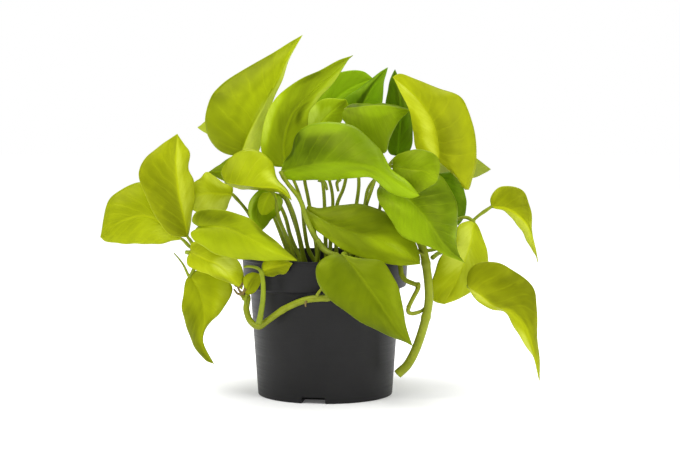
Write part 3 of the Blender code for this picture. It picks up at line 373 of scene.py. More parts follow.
        painted_light_and_shade=((0.0, 0.65, 0.5, 0.2, -0.12),),
    ),
    "leaf_right_low": dict(
        rib=[(107.5, 124.5), (105, 110), (100, 94), (94, 79.5), (86, 64.5)],
        side_a=[(110.5, 120), (115, 108.5), (118.5, 97), (116.5, 87), (109, 77.5), (100, 70)],
        side_b=[(102, 124.5), (95.5, 120), (94, 107.5), (84, 100.5), (79, 88), (76.5, 78), (77.5, 67.5)],
        depth=(-22, -28, -24), dip=(5, 4), foot=(26, 2),
        stalk=[(46, 104, 0), (72, 116, -8), (98, 127, -17)],
        tone=0.8, sides=(0.88, 0.98), hue=0.87, vein=0.12,
        painted_light_and_shade=((0.4, 0.35, 0.7, 0.4, 0.4), (0.3, 0.95, 0.8, 0.2, -0.35), (-0.7, 0.05, 0.6, 0.2, -0.2),
                 (-0.4, 0.6, 0.7, 0.3, 0.25)),
    ),
    "leaf_right_far": dict(
        rib=[(119.5, 135), (130, 134), (138, 129.5), (146, 121.5), (150.5, 110), (153.5, 94.5)],
        side_a=[(118.5, 140.5), (121.5, 146), (127, 149.5), (136, 149.5), (143, 145.5), (146.5, 136.5),
                (148.5, 124.5), (151, 109)],
        side_b=[(123.5, 133), (129.5, 131), (136, 124.5), (141.5, 117), (147, 108.5), (151.5, 100.5)],
        depth=(-20, -26, -22), dip=(6, 5), foot=(28, -6),
        stalk=[(50, 102, -10), (78, 104, -14), (97, 113, -16), (107.5, 126, -18)],
        tone=0.8, sides=(0.56, 1.0), hue=0.92, vein=0.1,
        painted_light_and_shade=((0.6, 0.6, 0.7, 0.6, 0.35), (-0.6, 0.38, 0.5, 0.25, -0.2), (-0.6, 0.72, 0.5, 0.15, 0.35)),
    ),
    "leaf_right_hanging": dict(
        rib=[(102.5, 77.5), (112, 71.5), (124.5, 62.5), (136, 59), (147.5, 43.5), (155.5, 8)],
        side_a=[(102.5, 84.5), (105, 90.5), (112, 95), (125, 94.5), (135, 89.5), (144.5, 82.5), (150.5, 74.5),
                (152.5, 63), (154, 45), (155.5, 27)],
        side_b=[(105, 73.5), (110.5, 66), (120.5, 60), (130, 57), (138, 46.5), (145.5, 34.5), (152, 22.5)],
        depth=(-40, -48, -44), dip=(4, 6), start=(77.5, 98.3, -34),
        stalk=[(82, 101.4, -21), (90, 103, -12), (103, 97, -9), (114, 90, -12), (121, 85, -23),
               (114, 79, -36)],
        tone=0.7, sides=(0.46, 0.92), hue=0.97, vein=0.1, ribline=0.15,
        painted_light_and_shade=((-0.7, 0.5, 0.6, 0.35, -0.25), (0.3, 0.1, 0.7, 0.25, 0.4), (0.9, 0.75, 0.6, 0.3, 0.5),
                 (0.0, 0.45, 0.3, 0.3, -0.2), (-0.3, 0.95, 0.9, 0.15, 0.25)),
    ),
    "leaf_front_pot": dict(
        rib=[(12.5, 100.5), (19.5, 92.5), (27, 83), (35.5, 71), (45, 56.5), (54, 43.5), (63.5, 34)],
        side_a=[(3.5, 100), (-3.5, 95.5), (-6.5, 89), (-5, 79), (2, 69.5), (16.5, 58), (29.5, 48.5), (44, 42),
                (56.5, 37.5)],
        side_b=[(21.5, 98.5), (32.5, 98), (42.5, 94.5), (49, 83), (54, 72.5), (57, 58), (59.5, 45)],
        depth=(-70, -88, -84), dip=(5, 6), foot=(14, -29),
        stalk=[(14.5, 96, -38), (15, 99.5, -50), (14, 101.5, -62)],
        tone=0.6, sides=(0.18, 0.31), hue=0.68, vein=0.06, ribline=0.35, streak=0.03,
        painted_light_and_shade=((-0.9, 0.15, 0.4, 0.3, 0.15), (0.8, 0.65, 0.4, 0.35, 0.15), (0.0, 0.75, 0.3, 0.4, -0.08),
                 (0.85, 0.05, 0.4, 0.12, 0.3)),
    ),
    "leaf_front_olive": dict(
        rib=[(-13.5, 133), (3.5, 123), (21.5, 116.5), (37.5, 112), (52, 105.5), (62, 98.5), (68.5, 93.5)],
        side_a=[(-12.5, 136), (-3.5, 134.5), (11, 136), (27, 136.5), (42.5, 131.5), (55.5, 121.5), (65, 110),
                (68.5, 100)],
        side_b=[(-13, 127), (-9.5, 120.5), (0, 113), (12.5, 104), (22.5, 99.5), (42.5, 94.5), (57, 92.5)],
        depth=(-32, -52, -56), dip=(8, -4), foot=(-7, -28),
        stalk=[(-5, 104, -32), (-11, 122, -32)],
        tone=0.4, sides=(0.24, 0.38), hue=0.68, vein=0.08, ribline=0.1, streak=0.05,
        painted_light_and_shade=((0.1, 0.78, 0.5, 0.25, 0.45), (-0.5, 0.85, 0.9, 0.25, 0.35), (0.95, 0.45, 0.35, 0.35, 0.22),
                 (0.85, 0.1, 0.4, 0.1, 0.25)),
    ),
    "leaf_back_centre": dict(
        rib=[(-4, 168), (-2, 182), (2, 188), (6, 186), (8, 180)],
        side_a=[(-14, 170), (-22, 180), (-20, 188), (-10, 191), (2, 190)],
        side_b=[(4, 168), (16, 172), (24, 180), (22, 186), (14, 186)],
        depth=(34, 70, 104), dip=(4, 4), foot=(3, 23),
        stalk=[(4, 112, 24), (5.5, 140, 28), (2, 157, 31)],
        tone=0.6, back=True, hue=0.8, vein=0.15,
        painted_light_and_shade=((0.4, 0.5, 0.7, 0.5, 0.25),),
    ),
    "leaf_back_left": dict(
        rib=[(-56, 160), (-64, 175), (-72, 188), (-82, 194), (-91.5, 192)],
        side_a=[(-61, 163), (-67, 174), (-75, 180), (-85, 187)],
        side_b=[(-52, 168), (-52, 182), (-60, 197), (-73, 202), (-84, 198)],
        depth=(34, 56, 84), dip=(2, 6), foot=(-23, 24),
        stalk=[(-26, 100, 26), (-37, 128, 28), (-47, 147, 31)],
        tone=0.7, back=True, sides=(0.9, 0.9), hue=0.83, vein=0.15,
    ),
    "leaf_back_right": dict(
        rib=[(74, 160), (84, 168), (94, 171), (105, 168), (119, 162)],
        side_a=[(71, 168), (79, 180), (92, 183), (104, 174), (112, 166.5)],
        side_b=[(78, 154), (88, 153), (98, 153.5), (109, 156)],
        depth=(26, 52, 76), dip=(4, 6), foot=(20, 18),
        stalk=[(34, 108, 20), (54, 130, 22), (68, 151, 24)],
        tone=0.5, back=True, sides=(0.5, 0.38), hue=0.75, vein=0.15,
        painted_light_and_shade=((0.6, 0.25, 0.6, 0.3, -0.3),),
    ),
    "leaf_back_low_left": dict(
        rib=[(-46, 104), (-58, 110), (-70, 110), (-80, 105), (-90, 100)],
        side_a=[(-47, 110), (-57, 119), (-70, 122), (-82, 116), (-91, 107)],
        side_b=[(-46, 99), (-54, 97.5), (-66, 98), (-79, 97)],
        depth=(42, 76, 104), dip=(5, 8), foot=(-26, 15),
        stalk=[(-32, 101, 26), (-39, 107, 36)],
        tone=0.75, back=True, hue=0.85, vein=0.15,
        painted_light_and_shade=((-0.4, 0.4, 0.7, 0.5, 0.2),),
    ),
    "leaf_back_low_right": dict(
        rib=[(54, 128), (66, 132), (76, 130), (84, 120), (90, 106)],
        side_a=[(52, 134), (60, 144), (76, 146), (88, 134), (92, 118)],
        side_b=[(56, 122), (64, 116), (74, 110), (84, 106)],
        depth=(38, 66, 92), dip=(5, 8), foot=(26, 20),
        stalk=[(34, 100, 26), (45, 118, 33)],
        tone=0.65, back=True, hue=0.8, vein=0.15,
        painted_light_and_shade=((0.4, 0.6, 0.7, 0.5, 0.2),),
    ),
    "leaf_back_hanging": dict(
        rib=[(-6, 96), (-10, 86), (-12, 70), (-10, 52), (-2, 34)],
        side_a=[(-14, 98), (-26, 92), (-32, 78), (-28, 60), (-16, 44)],
        side_b=[(2, 96), (12, 90), (16, 76), (12, 58), (4, 44)],
        depth=(66, 82, 80), dip=(-4, -4), foot=(-6, 34),
        stalk=[(-6, 103, 46), (-6, 110, 58)],
        tone=0.7, back=True, hue=0.8, vein=0.15,
        painted_light_and_shade=((-0.5, 0.5, 0.6, 0.6, 0.2),),
    ),
    "leaf_back_right_hanging": dict(
        rib=[(30, 94), (36, 84), (39, 68), (37, 52), (31, 36)],
        side_a=[(25, 94), (20, 84), (20, 66), (23, 48)],
        side_b=[(37, 94), (45, 87), (48, 74), (45, 58), (36, 42)],
        depth=(62, 74, 74), dip=(-3, -3), foot=(10, 29),
        stalk=[(18, 103, 42), (26, 109, 54)],
        tone=0.65, back=True, hue=0.75, vein=0.15,
        painted_light_and_shade=((0.5, 0.5, 0.6, 0.6, 0.2),),
    ),
}

# Trailing stems: (x, z, y) along the middle, millimetres, and the radius at each end. nodes are the
# swellings where leaves grew, as (share of the length, share of the radius).
# A stem with a foot starts in the soil; the shoot starts beside the right stem.
STEMS = {
    "stem_left": dict(
        foot=(11, -36), radius=(2.4, 2.2),
        path=[(10, 95, -44), (8.5, 99.5, -54), (7.5, 97.5, -63), (8, 88, -68), (8, 76, -68), (3, 69.3, -67),
              (-4, 68.8, -66), (-15, 67.3, -63), (-29, 61.3, -57), (-41, 53, -51), (-48, 48.3, -47),
              (-54, 52, -43), (-57, 60.5, -41), (-56.5, 68, -40), (-60.5, 72.5, -38)], nodes=((0.3, 0.1),
               (0.66, 0.12), (0.97, 0.5)),
    ),
    "stem_right": dict(
        foot=(36, -20), radius=(2.7, 3.3),
        path=[(44, 99, -27), (56, 111, -36), (65, 113, -42), (69.5, 107.5, -43), (73, 92, -43), (75, 70, -41),
              (72.5, 53.5, -38), (66.5, 34, -35), (60, 21, -33), (52.5, 13.5, -32)], nodes=((0.25, 0.18),
               (0.45, 0.15), (0.7, 0.15)),
    ),
    "shoot_right": dict(
        radius=(1.9, 1.4),
        path=[(53, 98, -36), (54.4, 91, -38), (55.2, 86, -39), (58, 82, -40), (63.5, 79.5, -41),
              (67, 78, -41), (66.6, 75, -41), (64, 70, -41), (60.4, 62.5, -41), (60.2, 58.7, -41),
              (63.5, 57.7, -40), (68, 58.8, -39)], nodes=((0.47, 0.55), (0.78, 0.2)),
    ),
}

# Small twigs, sheaths and roots: the path as (x, z, y) points, the two radii, and 1 where it is dry.
EXTRAS = {
    "leaf_left_under": (
        ([(-44.8, 80, -56), (-46.5, 88.2, -55), (-49.8, 91, -53), (-55.3, 92, -51),
          (-58.6, 91.5, -50)], (1.5, 0.8), 0),
    ),
    "leaf_centre_large": (
        ([(-6, 111, -43), (-2.5, 106, -43), (1, 102.6, -46), (5, 100.8, -48), (9, 100, -49)], (2.4, 1.9), 0),
    ),
    "leaf_left_hanging": (
        ([(-109, 101.5, -17), (-105.5, 97.5, -18), (-102, 92.5, -20), (-99.5, 87, -21),
          (-98, 84, -22)], (0.4, 1.1), 0),
    ),
    "leaf_fold_middle": (
        ([(-5, 154.5, -22), (-0.5, 152.5, -22), (1.5, 147, -22)], (1.5, 1.0), 0),
        ([(11, 155, -22), (8.5, 152, -22), (9.5, 146, -22)], (1.4, 0.9), 0),
    ),
    "stem_left": (
        ([(-66, 75.5, -41), (-63, 72, -42), (-59.5, 72.5, -43), (-57.5, 76, -44)], (0.6, 1.3), 1),
        ([(-65.5, 78, -41), (-62, 77, -43), (-59.5, 79.5, -43), (-57.5, 80.5, -43)], (0.5, 1.0), 1),
        ([(-64, 80.5, -41), (-62, 74.5, -43), (-58.5, 71.5, -41)], (0.5, 1.1), 1),
        ([(-6.5, 69, -66), (-5, 72.5, -68), (-2, 76.5, -69)], (1.3, 0.8), 0),
        ([(-13.5, 67, -65), (-14.3, 64.5, -67), (-14, 62.5, -67)], (1.0, 0.4), 1),
    ),
    "stem_right": (
        ([(53.2, 14.1, -32), (52.3, 13.3, -32)], (2.7, 2.2), 1),
        ([(72, 100, -45), (67, 102, -47), (62.6, 100, -48), (62.4, 96.6, -48), (65.4, 95.2, -47),
          (68.2, 97.4, -46)], (1.0, 0.8), 0),
    ),
    "shoot_right": (
        ([(67, 58.4, -39.3), (69.5, 59.6, -38), (72, 62, -36)], (1.4, 0.9), 0),
    ),
}


# ---- curves -------------------------------------------------------------------------------


def smooth_curve(points, count):
    """count + 1 places along a smooth curve through the points, evenly spaced along it."""
    points = np.asarray(points, float)
    ends = np.vstack((2 * points[0] - points[1], points, 2 * points[-1] - points[-2]))
    fine = []
    for p0, p1, p2, p3 in zip(ends, ends[1:], ends[2:], ends[3:]):
        t = np.linspace(0, 1, 24, endpoint=False)[:, None]
        fine.append(
            p1 + 0.5 * t * (p2 - p0 + t * (2 * p0 - 5 * p1 + 4 * p2 - p3 + t * (3 * (p1 - p2) + p3 - p0)))
        )
    fine = np.vstack(fine + [points[-1:]])
    lengths = np.linalg.norm(np.diff(fine, axis=0), axis=1)
    run = np.concatenate(([0], np.cumsum(lengths))) / lengths.sum()
    at = np.linspace(0, 1, count + 1)
    return np.column_stack([np.interp(at, run, fine[:, k]) for k in range(fine.shape[1])])


def at_depth(x, z, y):
    """The point at depth y on the line of sight through (x, z) of the front elevation."""
    flat = np.array((x, 0.0, z))
    return flat + (flat - SIGHT) * (y / -SIGHT[1])


def depth_along(depth, s):
    base, middle, tip = depth
    return base * (1 - s) * (1 - 2 * s) + middle * 4 * s * (1 - s) + tip * s * (2 * s - 1)


def bell(values, middle, reach):
    return np.exp(-(((values - middle) / reach) ** 2))


# ---- meshes -------------------------------------------------------------------------------


def mesh_object(name, points, faces, uvs=None, slots=None):
    """An object from points in millimetres; uvs holds the values at each point of each map."""
    mesh = bpy.data.meshes.new(name)
    mesh.from_pydata((np.asarray(points) * MM).tolist(), [], [tuple(map(int, f)) for f in faces])
    corners = np.empty(len(mesh.loops), np.int32)
    mesh.loops.foreach_get("vertex_index", corners)
    for label, values in (uvs or {}).items():
        layer = mesh.uv_layers.new(name=label)
        layer.data.foreach_set("uv", np.asarray(values, np.float32)[corners].ravel())
    if slots is not None:
        mesh.polygons.foreach_set("material_index", np.asarray(slots, np.int32))
    mesh.shade_smooth()
    obj = bpy.data.objects.new(name, mesh)
    bpy.context.scene.collection.objects.link(obj)
    return obj


def tube(path, radii, sides, slot, groove=0.0):
    """A rod along a path, closed at both ends, as one part for join."""
    path = np.asarray(path, float)
    ahead = np.gradient(path, axis=0)
    ahead /= np.linalg.norm(ahead, axis=1)[:, None]
    run = np.concatenate(([0], np.cumsum(np.linalg.norm(np.diff(path, axis=0), axis=1))))
    run /= run[-1]
    side = np.cross(ahead[0], (0.3, 1.0, 0.1))
    points, uv, faces = [], [], []
    for centre, along, radius, v in zip(path, ahead, radii, run):
        side = side - along * (side @ along)
        side /= np.linalg.norm(side)
        other = np.cross(along, side)
        for k in range(sides):
            turn = 2 * math.pi * k / sides
            reach = radius * (1 - groove * bell(turn, math.pi / 2, 0.35))
            points.append(centre + reach * (math.cos(turn) * side + math.sin(turn) * other))
            uv.append((abs(2 * k / sides - 1), v))
    for ring in range(len(path) - 1):
        for k in range(sides):
            here = ring * sides + k
            beside = ring * sides + (k + 1) % sides
            faces.append((here, beside, beside + sides, here + sides))
    for centre, ring, flip in ((path[0], 0, True), (path[-1], len(path) - 1, False)):
        points.append(centre)
        uv.append((0.5, run[ring]))
        middle = len(points) - 1
        for k in range(sides):
            here, beside = ring * sides + k, ring * sides + (k + 1) % sides
            faces.append((middle, beside, here) if flip else (middle, here, beside))
    uv = np.array(uv)
    return np.array(points), faces, {"leaf": uv, "span": uv * 0}, [slot] * len(faces)


def join(parts):
    """Several (points, faces, uvs, slots) made one set of mesh lists."""
    points, faces, uvs, slots = [], [], {}, []
    count = 0
    for p, f, u, s in parts:
        points.append(p)
        faces += [tuple(c + count for c in face) for face in f]
        for label, values in u.items():
            uvs.setdefault(label, []).append(values)
        slots += s
        count += len(p)
    return np.vstack(points), faces, {k: np.vstack(v) for k, v in uvs.items()}, slots


# ---- leaf geometry ------------------------------------------------------------------------


def rail(leaf, flat, share, dip):
    back = dip * np.sin(np.pi * np.clip(share, 0, 1)).clip(0) ** 0.7
    depths = depth_along(leaf["depth"], share) + back
    return np.array([at_depth(x, z, y) for (x, z), y in zip(flat, depths)])


def blade_rails(leaf):
    """The first margin, the rib and the second margin, one point for each row of the blade."""
    share = np.linspace(0, 1, BLADE_ROWS + 1)
    rib_share = share**1.25
    rib = smooth_curve(leaf["rib"], BLADE_ROWS)
    rib = np.column_stack([np.interp(rib_share, share, rib[:, k]) for k in range(2)])
    rails = [rail(leaf, rib, rib_share, 0.0)]
    for side, dip in zip(("side_a", "side_b"), leaf["dip"]):
        flat = smooth_curve([leaf["rib"][0], *leaf[side], leaf["rib"][-1]], BLADE_ROWS)
        rails.append(rail(leaf, flat, share, dip))
    rib, side_a, side_b = rails
    return side_a, rib, side_b


def vein_run(v, t, leaf):
    """Rises by one from each side vein to the next."""
    count = leaf.get("veins", VEIN_COUNT)
    return v * count - np.abs(t) ** VEIN_CURVE * VEIN_SWEEP + np.where(t < 0, 0.0, VEIN_OFFSET)


def blade_grid(leaf, seed):
    """Mid-surface points (rows, columns, 3), with v along, t across (-1..1) and widths in mm."""
    side_a, rib, side_b = blade_rails(leaf)
    rng = np.random.default_rng(seed)
    spread = np.linspace(0, 1, BLADE_COLUMNS + 1) ** 1.25
    t = np.concatenate((-spread[::-1], spread[1:]))[None]
    v = np.linspace(0, 1, BLADE_ROWS + 1)[:, None]
    far = np.abs(t)
    width_a = np.linalg.norm(side_a - rib, axis=1)
    width_b = np.linalg.norm(side_b - rib, axis=1)
    margin = np.where(t[:, :, None] < 0, side_a[:, None], side_b[:, None])
    width = np.where(t < 0, width_a[:, None], width_b[:, None])
    grid = rib[:, None] * (1 - far[:, :, None]) + margin * far[:, :, None]
    grid[:, :, 1] -= BLADE_PUFF * width * 4 * far * (1 - far)
    normal = np.cross(np.gradient(grid, axis=0), np.gradient(grid, axis=1))
    normal /= np.maximum(np.linalg.norm(normal, axis=2), 1e-9)[:, :, None]
    normal[0], normal[-1] = normal[1], normal[-2]
    if (normal[:, :, 1].sum() > 0) != leaf.get("back", False):
        normal = -normal
    size = min(1.0, np.linalg.norm(np.diff(rib, axis=0), axis=1).sum() / FULL_LENGTH)
    fade = np.sin(np.pi * np.clip(v, 0, 1)).clip(0) ** 0.5
    waves = rng.uniform(0, 2 * math.pi, 6)
    ripple = 0.55 * size * fade * far**3 * (
        np.sin(2 * math.pi * (2.3 * v) + np.where(t < 0, waves[0], waves[1]))
        + 0.6 * np.sin(2 * math.pi * (4.7 * v) + np.where(t < 0, waves[2], waves[3]))
    )
    sway = 0.7 * size * fade * np.sin(2 * math.pi * (1.1 * v + 0.35 * t) + waves[4])
    between = (1 - np.abs(np.sin(math.pi * vein_run(v, t, leaf)))) ** 2
    pucker = 0.16 * size * fade * np.minimum(1, far * 3) * (1 - far**4) * between
    groove = 0.35 * size * bell(far * width, 0, 0.9) * (1 - 0.8 * v) * fade
    surface = grid + normal * (ripple + sway - pucker - groove)[:, :, None]
    return surface, normal, v, t, width, size, fade


def blade_part(leaf, seed):
    """A blade as one part for join, its upper side in slot 0 and its under side in slot 1, and its rib."""
    surface, normal, v, t, width, size, fade = blade_grid(leaf, seed)
    rows, columns = surface.shape[:2]
    middle, half_way = columns // 2, rows // 2
    thick = BLADE_HALF * (1 - 0.55 * np.abs(t) ** 6)[:, :, None]
    from_rib = np.abs(t) * width
    ridge = (0.9 * size * bell(from_rib, 0, 0.8) * (1 - 0.85 * v) * fade)[:, :, None]
    sides = (surface + normal * thick, surface - normal * (thick + ridge))
    uv = np.stack(np.broadcast_arrays(0.5 + 0.5 * t, v), axis=2)
    span = np.stack((from_rib, (1 - np.abs(t)) * width), axis=2) * 0.01

    def index(row, column, layer):
        base = layer * (2 + (rows - 2) * columns)
        if row == 0:
            return base
        if row == rows - 1:
            return base + 1
        return base + 2 + (row - 1) * columns + column

    def gather(values):
        flat = values[1:-1].reshape(-1, values.shape[2])
        return np.vstack((values[0, middle][None], values[-1, middle][None], flat))

    def ring(corners, reverse):
        found = list(dict.fromkeys(index(*corner) for corner in corners))
        return tuple(reversed(found)) if reverse else tuple(found)

    centre = surface[half_way, middle]
    facing = np.cross(surface[half_way + 1, middle] - centre, surface[half_way, middle + 1] - centre)
    flipped = np.dot(facing, normal[half_way, middle]) < 0
    faces, slots = [], []
    for layer in (0, 1):
        for row in range(rows - 1):
            for column in range(columns - 1):
                corners = ((row, column, layer), (row + 1, column, layer),
                           (row + 1, column + 1, layer), (row, column + 1, layer))
                faces.append(ring(corners, (layer == 1) != flipped))
                slots.append(layer)
    edge = [(row, 0) for row in range(rows)] + [(row, columns - 1) for row in range(rows - 2, 0, -1)]
    for here, after in zip(edge, edge[1:] + edge[:1]):
        faces.append(ring(((*here, 0), (*after, 0), (*after, 1), (*here, 1)), not flipped))
        slots.append(0)
    points = np.vstack([gather(side) for side in sides])
    uvs = {"leaf": np.vstack([gather(uv)] * 2), "span": np.vstack([gather(span)] * 2)}
    return (points, faces, uvs, slots), surface[:, middle]


def start_points(plant):
    if "foot" in plant:
        foot = np.array((*plant["foot"], FOOT_HEIGHT))
        return [foot, foot + np.array((0.0, 0.0, 6.0))]
    if "start" in plant:
        return [at_depth(*plant["start"])]
    return []


def stalk_part(leaf, rib):
    """The stalk to the blade, then a little way along under the rib."""
    way = start_points(leaf) + [at_depth(*point) for point in leaf["stalk"]] + [rib[0]]
    low, high = leaf.get("radius", STALK_RADII)
    share = np.linspace(0, 1, STALK_STEPS + 1)
    radii = low + (high - low) * share**0.8
    radii *= 1 + 0.25 * bell(share, 0.95, 0.03)
    behind = -1.0 if leaf.get("back", False) else 1.0
    tail = rib[1 : len(rib) // 8 + 1] + np.array((0, 0.45 * behind, -0.1))
    path = np.vstack((smooth_curve(way, STALK_STEPS), tail))
    radii = np.concatenate((radii, np.linspace(radii[-1], 0.3, len(tail) + 1)[1:]))
    return tube(path, radii, STALK_SIDES, STALK_SLOT, STALK_GROOVE)


def extra_parts(name, slot):
    """The small tubes that grow on this piece, green ones in the given slot and dry ones in the next."""
    share = np.linspace(0, 1, EXTRA_STEPS + 1)
    parts = []
    for path, (low, high), dry in EXTRAS.get(name, ()):
        way = smooth_curve([at_depth(*point) for point in path], EXTRA_STEPS)
        parts.append(tube(way, low + (high - low) * share, EXTRA_SIDES, slot + dry, EXTRA_GROOVE))
    return parts


def leaf_piece(name, leaf, seed):
    blade, rib = blade_part(leaf, seed)
    parts = [blade, stalk_part(leaf, rib), *extra_parts(name, STALK_SLOT)]
    return mesh_object(name + "_grown", *join(parts))


def stem_piece(name, stem):
    way = start_points(stem) + [at_depth(*point) for point in stem["path"]]
    low, high = stem["radius"]
    share = np.linspace(0, 1, STEM_STEPS + 1)
    radii = low + (high - low) * share
    for at, swell in stem["nodes"]:
        radii *= 1 + swell * bell(share, at, 0.012)
    parts = [tube(smooth_curve(way, STEM_STEPS), radii, STEM_SIDES, 0), *extra_parts(name, 0)]
    return mesh_object(name + "_grown", *join(parts))


# ---- materials ----------------------------------------------------------------------------


class Nodes:
    """Short ways to add and wire the shader nodes of one new material."""

    def __init__(self, name):
        self.material = bpy.data.materials.new(name)
        self.material.use_nodes = True
        self.tree = self.material.node_tree
        self.shader = self.tree.nodes["Principled BSDF"]
        self.output = self.tree.nodes["Material Output"]

    def put(self, socket, value):
        if isinstance(value, bpy.types.NodeSocket):
            self.tree.links.new(value, socket)
            return
        if socket.type == "RGBA":
            value = (*value, 1.0)
        socket.default_value = value

    def shade(self, **values):
        """Values or links for the Principled shader, with _ for each space in a socket's name."""
        for label, value in values.items():
            self.put(self.shader.inputs[label.replace("_", " ")], value)

    def node(self, kind, **settings):
        made = self.tree.nodes.new(kind)
        for key, value in settings.items():
            setattr(made, key, value)
        return made

    def math(self, operation, *values, clamp=False):
        made = self.node("ShaderNodeMath", operation=operation, use_clamp=clamp)
        for socket, value in zip(made.inputs, values):
            self.put(socket, value)
        return made.outputs[0]

    def smooth(self, value, low, high, out_low=0.0, out_high=1.0):
        made = self.node("ShaderNodeMapRange", interpolation_type="SMOOTHSTEP")
        for socket, item in zip(made.inputs, (value, low, high, out_low, out_high)):
            self.put(socket, item)
        return made.outputs[0]

    def mix(self, factor, a, b):
        made = self.node("ShaderNodeMix", data_type="RGBA")
        self.put(made.inputs[0], factor)
        self.put(made.inputs[6], a)
        self.put(made.inputs[7], b)
        return made.outputs[2]

    def noise(self, vector, scale, detail, roughness):
        made = self.node("ShaderNodeTexNoise")
        self.put(made.inputs["Vector"], vector)
        made.inputs["Scale"].default_value = scale
        made.inputs["Detail"].default_value = detail
        made.inputs["Roughness"].default_value = roughness
        return made.outputs[0]

    def where(self):
        return self.node("ShaderNodeTexCoord").outputs["Object"]

    def uv(self, label):
        made = self.node("ShaderNodeUVMap", uv_map=label)
        split = self.node("ShaderNodeSeparateXYZ")
        self.put(split.inputs[0], made.outputs[0])
        return split.outputs[0], split.outputs[1]

    def bump(self, height, strength, distance, after=None):
        made = self.node("ShaderNodeBump")
        made.inputs["Strength"].default_value = strength
        made.inputs["Distance"].default_value = distance
        self.put(made.inputs["Height"], height)
        if after is not None:
            self.put(made.inputs["Normal"], after)
        return made.outputs[0]


def leaf_colour(tone, hue):
    """From deep green at tone 0 to neon at 1. A high hue leans to yellow, a low one to blue-green."""
    green = 0.10 + 0.46 * tone
    red = green * (0.40 + 0.51 * min(max(hue, 0.0), 1.0))
    return red, green, 0.002 + 0.006 * tone


